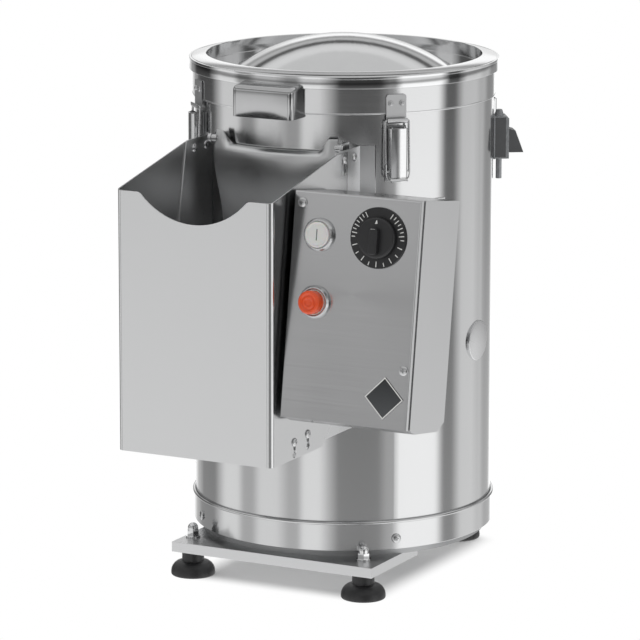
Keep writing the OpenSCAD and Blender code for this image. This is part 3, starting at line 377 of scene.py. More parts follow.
@shared
def drum_steel():
    steel = setting("steel")
    return brushed_metal(steel.shell, steel.shell_roughness, ROUND_LINES, smear=0.82, turn=0.25)


@shared
def hood_steel():
    return brushed_metal(setting("steel").hood, 0.21, LEVEL_LINES, smear=0.7, turn=0.25, depth=0.000002)


@shared
def folded_steel():
    return brushed_metal(tinted(setting("steel").sheet, 1.15), 0.3, LEVEL_LINES, smear=0.3)


@shared
def box_steel():
    return brushed_metal(setting("steel").panel, 0.19, LEVEL_LINES, smear=0.5, turn=0.25,
                         depth=0.000002)


@shared
def lid_steel():
    return brushed_metal(setting("steel").bright, 0.09, (30, 30, 30))


@shared
# The grip's steel is the lid's bright steel painted 30 % darker: painted shade
def painted_shade_grip_steel():
    return brushed_metal(tinted(setting("steel").bright, 0.7), 0.13, (60, 60, 60), depth=0.000002)


@shared
def door_steel():
    return brushed_metal(setting("steel").bright, 0.34, (30, 30, 30))


@shared
def latch_steel():
    return brushed_metal(setting("steel").bright, 0.16, (60, 60, 700), depth=0.000002, wear=0.06)


@shared
def chrome():
    return brushed_metal(tinted(setting("steel").bright, 1.05), 0.09, (90, 90, 90), depth=0.000001)


@shared
def fastener_steel():
    return brushed_metal(setting("steel").sheet, 0.26, (160, 160, 160), depth=0.000006, wear=0.06)


@shared
def catch_steel():
    return brushed_metal(setting("steel").sheet, 0.38, (240, 240, 240), depth=0.000008, wear=0.04)


@shared
def dull_steel():
    return brushed_metal(setting("steel").dull, 0.45, (40, 400, 40), depth=0.000006, wear=0.1)


@shared
def cast_aluminium():
    finish = new_finish(Metallic=1.0)
    skin = noise(finish, scale=420, detail=4)
    vary_roughness(finish, skin, 0.42, 0.62)
    vary_colour(finish, skin, (0.30, 0.31, 0.32), (0.42, 0.43, 0.44))
    relief(finish, skin, 0.0001)
    return finish


def moulded(colour, roughness, grain, depth=0.00001, lift=1.35, **sockets):
    """Plastic or rubber with a fine moulded skin."""
    finish = new_finish(**sockets)
    skin = noise(finish, scale=grain, detail=3)
    cloud = noise(finish, scale=22, detail=3)
    vary_roughness(finish, cloud, roughness * 0.85, roughness * 1.15)
    vary_colour(finish, cloud, tinted(colour, 1 / lift), tinted(colour, lift))
    relief(finish, skin, depth)
    return finish


@shared
def foot_rubber():
    return moulded(setting("trim").rubber, 0.42, grain=700, depth=0.00003)


@shared
def seal_rubber():
    return moulded(tinted(setting("trim").rubber, 1.3), 0.55, grain=600, depth=0.00003)


@shared
def belt_rubber():
    return moulded(tinted(setting("trim").rubber, 1.2), 0.7, grain=1500, depth=0.00006)


@shared
def dial_plastic():
    return moulded(setting("trim").dial, 0.40, grain=1600)


@shared
def black_plastic():
    return moulded((0.085, 0.087, 0.09), 0.45, grain=1200, depth=0.00002, lift=1.15)


@shared
def device_plastic():
    return moulded((0.62, 0.60, 0.54), 0.5, grain=900, depth=0.00002, lift=1.06)


@shared
def mark_paint():
    return moulded(setting("trim").mark, 0.5, grain=1500, lift=1.03)


@shared
def grey_paint():
    return moulded((0.16, 0.16, 0.165), 0.5, grain=1500, lift=1.05)


@shared
def start_plastic():
    return moulded(setting("trim").start, 0.22, grain=300, lift=1.04,
                   Subsurface_Weight=0.25, Subsurface_Scale=0.002, Coat_Weight=0.4)


@shared
def stop_plastic():
    return moulded(setting("trim").stop, 0.25, grain=300, lift=1.06,
                   Subsurface_Weight=0.15, Subsurface_Scale=0.002, Coat_Weight=0.35)


@shared
def motor_paint():
    return moulded((0.055, 0.065, 0.075), 0.42, grain=800, depth=0.00004, lift=1.1)


@shared
def abrasive_grit():
    """Carborundum grit in a cement bond."""
    finish = new_finish()
    grit = node(finish, "TexVoronoi", Scale=620.0)
    link(object_point(finish), grit.inputs["Vector"])
    cloud = noise(finish, scale=30, detail=4)
    away = grit.outputs["Distance"]
    vary_colour(finish, away, (0.16, 0.15, 0.135), (0.045, 0.042, 0.038), into=(0.1, 0.9))
    vary_roughness(finish, cloud, 0.8, 1.0)
    relief(finish, away, 0.0009)
    return finish


@shared
def badge_painted_reflection():
    """Bare plate with painted reflection: dark at its top, growing lighter towards its foot."""
    trim = setting("trim")
    finish = new_finish(Metallic=0.4, Coat_Weight=0.5)
    low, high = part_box("badge_plate")
    coords = node(finish, "TexCoord")
    split = node(finish, "SeparateXYZ")
    link(coords.outputs["Object"], split.inputs[0])
    # Painted reflection: the colour runs from the lighter foot up to the dark top
    vary_colour(finish, split.outputs["Z"], trim.badge_painted_light_foot, trim.badge_painted_dark_top, into=(low.z, high.z))
    cloud = noise(finish, scale=260, detail=3)
    vary_roughness(finish, cloud, 0.28, 0.4)
    relief(finish, cloud, 0.00001)
    return finish


# ---------------- dressing the solid model


def soften(obj, radius, segments):
    """Rounds a CAD node's edges: joins its faces, clears flat seams, then bevels what is sharp."""
    for face in obj.data.polygons:
        face.use_smooth = True
    weld = obj.modifiers.new("Join faces", "WELD")
    weld.merge_threshold = 0.00001
    flats = obj.modifiers.new("Clear flat seams", "DECIMATE")
    flats.decimate_type = "DISSOLVE"
    flats.angle_limit = math.radians(0.5)
    edges = obj.modifiers.new("Round edges", "BEVEL")
    edges.width = radius
    edges.segments = segments
    edges.limit_method = "ANGLE"
    edges.angle_limit = math.radians(32)
    edges.miter_outer = "MITER_ARC"
    normals = obj.modifiers.new("Even shading", "WEIGHTED_NORMAL")
    normals.weight = 90
    normals.keep_sharp = False


def dress(finish, *names, radius=0.0, segments=2):
    """Gives CAD nodes a finish and, where there is a radius, rounds their edges."""
    for name in names:
        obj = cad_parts[name]
        obj.data.materials.clear()
        obj.data.materials.append(finish)
        if radius:
            soften(obj, radius, segments)


# ---------------- mesh making, in millimetres


def lathe(profile, steps=72):
    """Turns a profile of (radius, height) points about Z. A radius of 0 closes it."""
    bm = bmesh.new()
    rings = []
    for radius, height in profile:
        if radius == 0:
            rings.append([bm.verts.new((0, 0, height))])
            continue
        turn = [2 * math.pi * i / steps for i in range(steps)]
        rings.append([bm.verts.new((radius * math.cos(a), radius * math.sin(a), height)) for a in turn])
    for low, high in zip(rings, rings[1:]):
        for i in range(steps):
            j = (i + 1) % steps
            corners = [low[i % len(low)], low[j % len(low)], high[j % len(high)], high[i % len(high)]]
            unique = list(dict.fromkeys(corners))
            if len(unique) > 2:
                bm.faces.new(unique)
    return bm


def prism(outline, low, high, bevel=0.0, segments=2):
    """Stands an outline of (x, y) points up from low to high."""
    bm = bmesh.new()
    foot = bm.faces.new([bm.verts.new((x, y, low)) for x, y in outline])
    grown = bmesh.ops.extrude_face_region(bm, geom=[foot])
    top = [v for v in grown["geom"] if isinstance(v, bmesh.types.BMVert)]
    bmesh.ops.translate(bm, verts=top, vec=(0, 0, high - low))
    if bevel:
        rim = [e for e in bm.edges if all(abs(v.co.z - high) < 0.0001 for v in e.verts)]
        bmesh.ops.bevel(bm, geom=rim, offset=bevel, segments=segments, profile=0.5, affect="EDGES")
    return bm


def ribbon(rows):
    """Skins a list of equally long rows of points."""
    bm = bmesh.new()
    grid = [[bm.verts.new(point) for point in row] for row in rows]
    for low, high in zip(grid, grid[1:]):
        for i in range(len(low) - 1):
            bm.faces.new((low[i], low[i + 1], high[i + 1], high[i]))
    return bm


def arc(centre, radius, start, end, steps):
    """Points on a circle between two angles in degrees, both ends included."""
    angles = [start + (end - start) * i / steps for i in range(steps + 1)]
    return [(centre[0] + radius * cosine(a), centre[1] + radius * sine(a)) for a in angles]


def in_scene(name, data):
    obj = bpy.data.objects.new(name, data)
    bpy.context.scene.collection.objects.link(obj)
    return obj


def mesh_data(name, bm):
    mesh = bpy.data.meshes.new(name)
    bm.to_mesh(mesh)
    bm.free()
    return mesh


def set_in_place(name, bm, place):
    """Makes an object of a millimetre mesh and puts it where it belongs."""
    bm.transform(place @ Matrix.Scale(MM, 4))
    bmesh.ops.recalc_face_normals(bm, faces=bm.faces)
    return in_scene(name, mesh_data(name, bm))


def joined(parts):
    """Gathers (mesh, place) pairs into one mesh; a place is a matrix in millimetres."""
    whole = bmesh.new()
    for bm, place in parts:
        bm.transform(place)
        scratch = mesh_data("scratch", bm)
        whole.from_mesh(scratch)
        bpy.data.meshes.remove(scratch)
    return whole


def piece(name, bm, place, body, finish, sharp=35.0):
    """Sets a millimetre mesh in place, gives it its finish and lets it ride on a body."""
    obj = set_in_place(name, bm, place)
    for face in obj.data.polygons:
        face.use_smooth = True
    obj.data.set_sharp_from_angle(angle=math.radians(sharp))
    obj.data.materials.append(finish)
    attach(obj, body)
    return obj


def thicken(obj, thickness):
    """Gives a skin its sheet thickness, inwards."""
    solid = obj.modifiers.new("Sheet", "SOLIDIFY")
    solid.thickness = thickness * MM
    solid.offset = -1
    solid.use_even_offset = True
    rim = obj.modifiers.new("Cut edge", "BEVEL")
    rim.width = 0.25 * MM
    rim.segments = 2
    rim.limit_method = "ANGLE"
    rim.angle_limit = math.radians(50)


def carve(obj, cutter_mesh, place):
    """Cuts a millimetre mesh out of a piece."""
    cutter = set_in_place("cutter", cutter_mesh, place)
    cut = obj.modifiers.new("Recess", "BOOLEAN")
    cut.object = cutter
    cut.operation = "DIFFERENCE"
    cut.solver = "EXACT"
    ready = obj.evaluated_get(bpy.context.evaluated_depsgraph_get())
    carved = bpy.data.meshes.new_from_object(ready)
    obj.modifiers.remove(cut)
    obj.data = carved
    carved.set_sharp_from_angle(angle=math.radians(35))
    bpy.data.objects.remove(cutter)


def wire(name, points, radius, place, body, finish):
    """Round wire along a smooth line of millimetre points."""
    curve = bpy.data.curves.new(name, "CURVE")
    curve.dimensions = "3D"
    curve.bevel_depth = radius * MM
    curve.bevel_resolution = 4
    curve.use_fill_caps = True
    line = curve.splines.new("NURBS")
    line.points.add(len(points) - 1)
    for spot, point in zip(line.points, points):
        spot.co = (*(place @ (Vector(point) * MM)), 1)
    line.order_u = 3
    line.use_endpoint_u = True
    line.resolution_u = 8
    curve.materials.append(finish)
    obj = in_scene(name, curve)
    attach(obj, body)


# ---------------- operators


class PEELER_OT_drum(Operator):
    """Finishes the drum and its drain, and makes the beaded base ring and the blanking plug's cap"""

    bl_idname = "peeler.drum"
    bl_label = "Drum"

    def execute(self, context):
        dress(drum_steel(), "drum_shell")
        dress(folded_steel(), "drain_spout", radius=setting("steel").edge_radius)
        inner, outer, foot = 175.15, 176.7, 53.2
        bead_z, bead = 86.1, 1.9
        ring = [(inner, foot), (outer - 0.4, foot), (outer, foot + 0.5), (outer, bead_z - bead)]
        ring += arc((outer + 0.3, bead_z), bead, -80, 160, 16) + [(inner, bead_z + 0.4)]
        band = piece("base_band", lathe(ring, 240), about_axis(), "housing",
                     drum_steel())
        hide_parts("base_ring")
        drum_wall, neck, pressed = 175, 12, 1.5
        low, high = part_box("blanking_plug")
        rim = (high.z - low.z) / 2 / MM - 1
        face = [(neck, -6), (neck, -0.6), (rim, -1.6), (rim, 0.9), (rim - 0.3, 1.3),
                (rim - 0.9, pressed), (0, pressed)]
        spot = Vector((AXIS.x + drum_wall * MM, AXIS.y, (low.z + high.z) / 2))
        cap = piece("plug_cap", lathe(face), Matrix.Translation(spot) @ turn_about("Y", 90), "housing",
                    folded_steel())
        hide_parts("blanking_plug")
        return {"FINISHED"}


class PEELER_OT_lid(Operator):
    """Finishes the lid's dish, skirt and seal, and makes its turned rim and the skirt's hem"""

    bl_idname = "peeler.lid"
    bl_label = "Lid"

    def execute(self, context):
        steel = setting("steel")
        dress(lid_steel(), "lid_dish", radius=steel.fold_radius, segments=3)
        dress(drum_steel(), "lid_skirt", radius=steel.edge_radius)
        dress(seal_rubber(), "lid_seal")
        # The skirt's hem is in the lid's brighter polished steel, not the skirt's: partly a painted
        # highlight along its lower edge
        hem = arc((176.3, 562.2), 1.15, -90, 90, 6)
        piece("skirt_hem", lathe(hem, 240), about_axis(), "lid", lid_steel())
        # The rim slopes outwards, turns down over a round shoulder and ends in an upright band
        rim = [(160.9, 603.5), (160.9, 608.0), (161.4, 608.6), (162.4, 608.7), (177.2, 605.6)]
        rim += arc((177.0, 602.6), 3.0, 75, 15, 4)
        rim += [(180.3, 601.5), (181.0, 592.2), (180.9, 591.4), (180.4, 591.0), (179.5, 590.9)]
        piece("lid_rim", lathe(rim, 240), about_axis(), "lid", lid_steel())
        return {"FINISHED"}


class PEELER_OT_grip(Operator):
    """Makes the pressed hand grip on the front of the lid"""

    bl_idname = "peeler.grip"
    bl_label = "Hand grip"

    def execute(self, context):
        half, front = 38.5, -204
        foot, brow, crest = 558, 593.2, 596.2
        rear_foot, rear_top = -172, -177
        bm = bmesh.new()
        low = [bm.verts.new((x, y, foot)) for x, y in (
            (-half, rear_foot), (-half, front), (half, front), (half, rear_foot))]
        high = [bm.verts.new(point) for point in (
            (-half, rear_top, crest), (-half, front, brow),
            (half, front, brow), (half, rear_top, crest))]
        for i in range(3):
            bm.faces.new((low[i], low[i + 1], high[i + 1], high[i]))
        bm.faces.new(high)
        folds = [e for e in bm.edges if len(e.link_faces) == 2]
        bmesh.ops.bevel(bm, geom=folds, offset=6.0, segments=6, profile=0.55, affect="EDGES")
        grip = piece("hand_grip", bm, about_axis(), "lid", painted_shade_grip_steel(), sharp=60)
        thicken(grip, 1.5)
        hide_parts("lid_grip")
        return {"FINISHED"}


def lever_row(z, depth, shift=0.0):
    """One level of a lever: flange, rounded corner, crowned face, corner, flange."""
    half, face, corner, crown = 10.6, 188.3, 2.2, 1.5
    flat = half - corner
    side = [(face - max(depth, corner), -half), (face - corner, -half)]
    bend = arc((face - corner, -flat), corner, -60, 0, 2)
    front = [(face + crown * (1 - (i / 6) ** 2), flat * i / 6) for i in range(-5, 6)]
    other = [(x, -t) for x, t in reversed(side + bend)]
    return [(x + shift, t, z) for x, t in side + bend + front + other]


def lever_plate():
    """A lever from its curled foot to its rounded top, where its flanges go round the pin."""
    pin_z, flange_end, flange = 544.5, 4.5, 7.8
    foot, full_depth_z, top, curl = 489.5, 494, 546.3, 3.0
    rows = [lever_row(foot - curl * sine(a), 0, curl * (1 - cosine(a))) for a in (90, 60, 30)]
    rows += [lever_row(foot + (full_depth_z - foot) * i / 3, flange * i / 3) for i in range(4)]
    rows += [lever_row(z, flange) for z in (506, 518, 530, 541)]
    for i in range(4):
        z = pin_z + (top - pin_z) * i / 3
        reach = math.sqrt(flange_end ** 2 - (z - pin_z) ** 2)
        rows.append(lever_row(z, flange - flange_end + reach))
    return ribbon(rows)


class PEELER_OT_latches(Operator):
    """Makes the latch levers, their clips and rivet eyes; finishes bases, catches and bails"""

    bl_idname = "peeler.latches"
    bl_label = "Toggle latches"

    def execute(self, context):
        dress(dull_steel(), "latch_bases")
        dress(catch_steel(), "latch_catches", radius=setting("steel").edge_radius * 0.7)
        hook_face, hook_foot = 184.2, 485.2
        half_loop = [(13.9, 505), (14.4, 497), (13.6, 489.5), (10, 486)]
        loop = [(hook_face, -half, z) for half, z in half_loop] + [(hook_face, 0, hook_foot)]
        loop += [(hook_face, half, z) for half, z in reversed(half_loop)]
        catch_face, rivet_gap, rivet_z = 180.75, 6.7, 574
        wire_radius, lever_sheet = 0.9, 1.2
        dimple = [(1.5, 0.1), (1.5, -0.4), (0, -0.5)]
        for name, angle in LATCHES.items():
            place = at_angle(angle)
            lever = piece(name + "_lever_plate", lever_plate(), place, name + "_lever",
                          latch_steel(), sharp=50)
            thicken(lever, lever_sheet)
            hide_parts(name + "_lever")
            dress(fastener_steel(), name + "_bail")
            wire(name + "_lever_clip", loop, wire_radius, place, name + "_lever",
                 chrome())
            spots = [Matrix.Translation((catch_face, side * rivet_gap, rivet_z)) for side in (-1, 1)]
            dimples = [(lathe(dimple, 20), spot @ turn_about("Y", 90)) for spot in spots]
            # The rivet eyes are shallow dimples in the darker dull steel: a real recess with painted
            # shade in it
            piece(name + "_rivet_eyes", joined(dimples), place, "lid", dull_steel())
        return {"FINISHED"}


def door_profile(raised):
    """The door's outline from foot to lip; the lip rolls back to the drum or, raised, is an ear."""
    wall, front, top, roll, ear = 176.0, 188.5, 520.5, 9.0, 13.0
    swell_foot, swell_height, ear_foot, ear_lean = 424, 82, 513.0, 0.4
    outline = [(wall, z) for z in (372, 395, 415)]
    for i in range(13):
        share = 0.5 - 0.5 * math.cos(math.pi * i / 12)
        outline.append((wall + (front - wall) * share, swell_foot + swell_height * i / 12))
    for i in range(10):
        turn = 10 + 10.5 * i
        r = front - roll + roll * cosine(turn)
        z = top - roll + roll * sine(turn)
        upright = ear_foot + (roll + ear) * i / 9
        outline.append((r + (front - ear_lean * i - r) * raised, z + (upright - z) * raised))
    return outline


def door_skin():
    """Rows of the curved door from left to right; its ends rise over a wide fillet into the ears."""
    reach, fillet, ear = 25.0, 4.2, 3.0
    rows = []
    for i in range(-60, 61):
        turn = reach * i / 60
        rise = min(max((abs(turn) - (reach - fillet - ear)) / fillet, 0), 1)
        profile = door_profile(rise ** 2 * (3 - 2 * rise))
        rows.append([(r * sine(turn), -r * cosine(turn), z) for r, z in profile])
    return ribbon(rows)


class PEELER_OT_outlet(Operator):
    """Makes the outlet door with its rolled lip and ears, and the lugs that its pins pass through"""

    bl_idname = "peeler.outlet"
    bl_label = "Outlet door"

    def execute(self, context):
        sheet = piece("door_sheet", door_skin(), about_axis(), "outlet_door",
                      door_steel(), sharp=80)
        thicken(sheet, 1.4)
        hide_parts("outlet_door")
        pin_y, pin_z, eye = -168, 525, 5.5
        root_y, aside, half_sheet = -152, 84, 1
        outline = arc((pin_y, pin_z), eye, 250, 60, 12)
        outline += [(root_y, pin_z + eye), (root_y, pin_z - 12)]
        plates = [(prism(outline, side * aside - half_sheet, side * aside + half_sheet), ALONG_X)
                  for side in (-1, 1)]
        lugs = piece("hinge_lugs", joined(plates), about_axis(), "housing", door_steel())
        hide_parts("door_lugs")
        dress(fastener_steel(), "hinge_pins")
        return {"FINISHED"}


class PEELER_OT_hood(Operator):
    """Finishes the chute hood and its brackets, and makes the heads of their bolts"""

    bl_idname = "peeler.hood"
    bl_label = "Chute hood"

    def execute(self, context):
        outer, inner, bracket = 98.1, 94.65, 96.35
        bolts = ((outer, -190, 515.5), (outer, -310, 216), (outer, -278, 219), (bracket, -162, 515.5))
        button = [(5.0, 0), (5.0, 0.5), (4.6, 1.2), (3.6, 1.9),
                  (2.3, 2.3), (1.3, 2.4), (1.1, 1.4), (0, 1.3)]
        heads = []
        for side in (-1, 1):
            for face, y, z in bolts:
                for x, way in ((face, side), (inner, -side)):
                    spot = Matrix.Translation((side * x, y, z)) @ turn_about("Y", 90 * way)
                    heads.append((lathe(button, 32), spot))
        studs = piece("hood_studs", joined(heads), about_axis(), "housing",
                      fastener_steel())
        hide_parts("hood_bolts")
        dress(hood_steel(), "chute_hood", radius=setting("steel").edge_radius)
        dress(folded_steel(), "hood_brackets", radius=setting("steel").edge_radius)
        return {"FINISHED"}


class PEELER_OT_control_box(Operator):
    """Finishes the control box and what it holds, and makes the folds of its cover in brighter chrome,
    partly a painted highlight
    """

    bl_idname = "peeler.control_box"
    bl_label = "Control box"

    def execute(self, context):
        dress(box_steel(), "box_cover")
        dress(box_steel(), "box_shell", radius=setting("steel").fold_radius * 1.4, segments=4)
        dress(folded_steel(), "box_bracket")
        dress(device_plastic(), "timer_body", "contact_blocks", "motor_contactor")
        fold, width, height = 2.0, 154, 250
        bend = arc((-fold, -fold), fold + 0.2, 0, 90, 8) + arc((-fold, -fold), fold - 0.4, 90, 0, 8)
        beside = [(x + width, z) for x, z in bend]
        down = turn_about("X", 90)
        folds = [(prism(bend, 0.3, width - 0.8), ALONG_X), (prism(beside, 0.8, height - 0.3), down)]
        # The folds are the cover's sheet in the brighter chrome finish: partly painted highlight along
        # its edges
        piece("cover_folds", joined(folds), on_panel((0, 0)), "housing", chrome(),
              sharp=50)
        return {"FINISHED"}


def mark_angles(dial):
    """Clockwise angles of the marks from the top: fine on both upper sides, coarse round the foot."""
    first, spacing, fine_marks = math.degrees(dial.first_mark), 8.4, 8
    fine = [first + spacing * i for i in range(fine_marks)]
    step = (360 - 2 * fine[-1]) / (dial.coarse_marks + 1)
    coarse = [fine[-1] + step * (i + 1) for i in range(dial.coarse_marks)]
    return fine + coarse + [360 - angle for angle in reversed(fine)]


def knob_mesh(foot, rim, crest):
    """The turning knob: a round foot, a raised bar with round ends across it, and its stem."""
    radius, stem_half, stem_foot = 22.5, 3, -16
    disc = [(0, foot), (radius - 0.8, foot), (radius, foot + 0.8), (radius, rim - 2.4),
            (radius - 0.5, rim - 1.0), (radius - 1.6, rim - 0.2), (radius - 3.2, rim), (0, rim)]
    stem = [(0, stem_foot), (stem_half, stem_foot), (stem_half, foot + 1), (0, foot + 1)]
    corner, side, top, bottom = 3.4, 5.0, 10.9, -18.1
    bar = []
    for x, y, start in ((side - corner, top - corner, 0), (corner - side, top - corner, 90),
                        (corner - side, bottom + corner, 180), (side - corner, bottom + corner, 270)):
        bar += arc((x, y), corner, start, start + 90, 6)
    raised = prism(bar, rim - 1, crest, bevel=1.3, segments=4)
    return joined([(part, Matrix()) for part in (lathe(disc), raised, lathe(stem, 24))])


class PEELER_OT_dial(Operator):
    """Finishes the timer's scale and makes its marks and knob"""

    bl_idname = "peeler.dial"
    bl_label = "Timer dial"

    def execute(self, context):
        dial = setting("dial")
        dress(dial_plastic(), "timer_scale", radius=0.0005)
        place = on_panel(DIAL_AT)
        face, print_depth, print_height = 2.6, 0.05, 0.12
        outer = dial.scale_radius / MM
        marks = []
        for count, angle in enumerate(mark_angles(dial)):
            inner = outer - (dial.short_mark if count % 2 else dial.long_mark) / MM
            outline = [(-0.42, inner), (0.42, inner), (0.5, outer), (-0.5, outer)]
            mark = prism(outline, face - print_depth, face + print_height)
            marks.append((mark, turn_about("Z", -angle)))
        piece("dial_marks", joined(marks), place, "housing", mark_paint())
        foot, rim, crest = 3.1, 9.1, 16.1
        knob = piece("knob", knob_mesh(foot, rim, crest), place, "timer_knob",
                     dial_plastic(), sharp=40)
        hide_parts("timer_knob")
        arrow = [(-1.5, 15.4), (1.7, 15.8), (0.9, 19.3), (0.2, 19.6)]
        bar = [(-2.9, 9.2), (2.6, 9.2), (2.4, 9.9), (-2.5, 9.9)]
        printed = joined([(prism(arrow, rim - print_depth, rim + print_height), Matrix()),
                          (prism(bar, crest - 1.0, crest - 0.02), Matrix())])
        piece("knob_marks", printed, place, "timer_knob", mark_paint())
        return {"FINISHED"}


class PEELER_OT_buttons(Operator):
    """Finishes the bezels and makes the start and stop buttons in them"""

    bl_idname = "peeler.buttons"
    bl_label = "Push buttons"

    def execute(self, context):
        dress(fastener_steel(), "button_bezels", radius=0.0007, segments=3)
        radius, top = 14.3, 8.0
        plunger = [(0, -18), (4, -18), (4, -9), (radius, -9)]
        start = plunger + [
            (radius, top - 1.0), (14.0, top - 0.3), (13.3, top), (12.6, top - 0.05),
            (12.0, top - 0.6), (6, top - 0.45), (0, top - 0.4)]
        cap = piece("start_cap", lathe(start), on_panel(START_AT), "start_button",
                    start_plastic(), sharp=40)
        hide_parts("start_button")
        half, reach = 0.55, 6.2
        stroke = [(-half, -reach), (half, -reach), (half, reach), (-half, reach)]
        piece("start_stroke", prism(stroke, top - 0.6, top - 0.25), on_panel(START_AT),
              "start_button", grey_paint())
        collar = plunger + [(radius, 4.3), (13.8, 5.0), (12.6, 5.0), (12.6, 4.0), (0, 4.0)]
        ring = piece("stop_collar", lathe(collar), on_panel(STOP_AT), "stop_button",
                     start_plastic(), sharp=40)
        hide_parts("stop_button")
        crest = 18.0
        crown = [(12.9, 3.9), (13.1, 4.4), (13.1, crest - 3.2)]
        crown += [(r, crest - drop) for r, drop in (
            (12.8, 1.8), (11.9, 0.5), (10.6, 0.0), (9.4, 0.2), (8.7, 1.0), (8.2, 1.5), (7.4, 1.6),
            (6.9, 1.1), (6.3, 0.6), (5.2, 0.5), (4.5, 0.9), (4.1, 1.7), (3.6, 2.0), (2.4, 1.8),
            (0, 1.5))]
        piece("stop_cap", lathe(crown), on_panel(STOP_AT), "stop_button", stop_plastic(),
              sharp=60)
        return {"FINISHED"}


class PEELER_OT_badge(Operator):
    """Finishes the bare badge plate and makes its bright border"""

    bl_idname = "peeler.badge"
    bl_label = "Badge plate"

    def execute(self, context):
        dress(badge_painted_reflection(), "badge_plate")
        outer, inner, low, high = 23.0, 21.5, 1.1, 1.55
        bm = bmesh.new()
        diamond = ((1, 0), (0, 1), (-1, 0), (0, -1))
        rings = [[bm.verts.new((radius * x, radius * y, z)) for x, y in diamond]
                 for radius, z in ((outer, low), (outer, high), (inner, high), (inner, low))]
        for a, b in zip(rings, rings[1:] + rings[:1]):
            for i in range(4):
                j = (i + 1) % 4
                bm.faces.new((a[i], a[j], b[j], b[i]))
        piece("badge_border", bm, on_panel(BADGE_AT), "housing", mark_paint())
        return {"FINISHED"}


def cross_recess():
    """Cutter for a cross recess in a screw's head, along +Z."""
    arm, width, low, high = 2.3, 0.45, 1.5, 4.0
    upper = [(arm, -width), (arm, width), (width, width), (width, arm), (-width, arm), (-width, width)]
    return prism(upper + [(-x, -y) for x, y in upper], low, high)


class PEELER_OT_screws(Operator):
    """Makes the cross-head screws of the base ring and the control box"""

    bl_idname = "peeler.screws"
    bl_label = "Screws"

    def execute(self, context):
        radius, height, rim_share, shank, point = 5.5, 3.0, 0.35, 2.4, -8
        head = [(0, point), (shank, point), (shank, 0.05), (radius, 0.05), (radius, 1.1)]
        for a in (15, 30, 45, 60, 75):
            head.append((radius * cosine(a), height * (rim_share + (1 - rim_share) * sine(a))))
        head.append((0, height))
        ring_wall, ring_screw_z = 176.7, 66
        seat = Matrix.Translation((ring_wall, 0, ring_screw_z)) @ turn_about("Y", 90)
        spots = [turn_about("Z", angle - 90) @ seat for angle in RING_SCREW_ANGLES]
        to_mm = Matrix.Scale(1 / MM, 4) @ about_axis().inverted()
        spots += [to_mm @ on_panel(spot) @ Matrix.Scale(MM, 4) for spot in PANEL_SCREWS]
        screws = piece("cross_head_screws", joined([(lathe(head, 40), spot) for spot in spots]),
                       about_axis(), "housing", fastener_steel())
        carve(screws, joined([(cross_recess(), spot) for spot in spots]), about_axis())
        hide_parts("panel_screws")
        return {"FINISHED"}


class PEELER_OT_feet(Operator):
    """Finishes the foot beams, base plate, rubber feet, studs and cap nuts"""

    bl_idname = "peeler.feet"
    bl_label = "Feet and beams"

    def execute(self, context):
        steel = setting("steel")
        dress(folded_steel(), "front_foot_beam", "rear_foot_beam", radius=steel.fold_radius, segments=3)
        dress(dull_steel(), "base_plate")
        dress(fastener_steel(), "foot_studs")
        dress(chrome(), "cap_nuts", radius=steel.edge_radius)
        dress(foot_rubber(), "rubber_feet", radius=0.0008, segments=3)
        return {"FINISHED"}


class PEELER_OT_fittings(Operator):
    """Finishes the water valve and the cable gland"""

    bl_idname = "peeler.fittings"
    bl_label = "Valve and gland"

    def execute(self, context):
        dress(cast_aluminium(), "valve_body", radius=0.0004)
        dress(black_plastic(), "valve_coil", "cable_gland", radius=0.0006)
        return {"FINISHED"}


class PEELER_OT_chamber(Operator):
    """Finishes the peeling chamber: lining, disc, floor, shaft and seal"""

    bl_idname = "peeler.chamber"
    bl_label = "Peeling chamber"

    def execute(self, context):
        dress(abrasive_grit(), "abrasive_liner")
        dress(abrasive_grit(), "abrasive_disc", radius=0.0012)
        dress(dull_steel(), "chamber_floor")
        dress(fastener_steel(), "drive_shaft", "shaft_bearings")
        dress(seal_rubber(), "shaft_seal")
        return {"FINISHED"}


class PEELER_OT_drive(Operator):
    """Finishes the motor, its plate and capacitor, the pulleys, belt and bearing housing"""

    bl_idname = "peeler.drive"
    bl_label = "Drive"

    def execute(self, context):
        dress(motor_paint(), "motor_housing", radius=0.0008)
        dress(dull_steel(), "motor_plate")
        dress(cast_aluminium(), "bearing_housing", radius=0.0008)
        dress(cast_aluminium(), "driven_pulley", "motor_pulley")
        dress(belt_rubber(), "drive_belt")
        dress(device_plastic(), "run_capacitor")
        return {"FINISHED"}


# ---------------- studio

# Where the camera aims, in millimetres from the foot of the drum's axis
AIM = Vector((-24.6, -12.8, 288.9))
# In metres: half sides of the floor's part that shows the shadow, and how far it fades beyond them
FOOTPRINT = (0.095, 0.140)
SHADOW_FADE = 0.04
# Soft boxes and flags round the machine: the angles where each starts and ends, and its level
CARDS = (
    (-168, -148, 1.45), (-142, -136, 0.85), (-127, -122, 0.35), (-114, -91, 0.06), (-77, -62, 1.00),
    (-56, -47, 0.42), (-40, -25, 0.95), (-15, -8, 0.47), (-3, 9, 1.12), (24, 54, 0.08), (61, 65, 0.38),
    (71, 103, 1.50), (111, 120, 0.10), (130, 146, 0.86), (153, 161, 0.66), (168, 183, 0.34))
# Rows of the globe that the cards form: height angle, share of the cards' level, plain light added.
# Its radius, in metres, comes after them.
CARD_ROWS = (
    (-89, 0.0, 1.3), (-42, 0.0, 1.3), (-30, 0.6, 0.45), (-20, 0.72, 0.38), (-14, 0.74, 0.34),
    (-8, 0.97, 0.03), (-4, 0.95, 0.0), (-1, 0.34, 0.0), (2, 0.34, 0.0), (4, 0.64, 0.0), (9, 0.64, 0.0),
    (10, 0.75, 0.15), (15, 0.75, 0.15), (18, 0.0, 0.40), (20, 0.0, 0.40), (23, 0.0, 0.60),
    (26, 0.0, 0.55), (28, 0.0, 0.12), (31, 0.0, 0.12), (34, 0.0, 0.75), (38, 0.0, 0.90),
    (43, 0.0, 0.90), (46, 0.0, 0.75), (89, 0.0, 0.75))
CARD_DISTANCE = 12.0


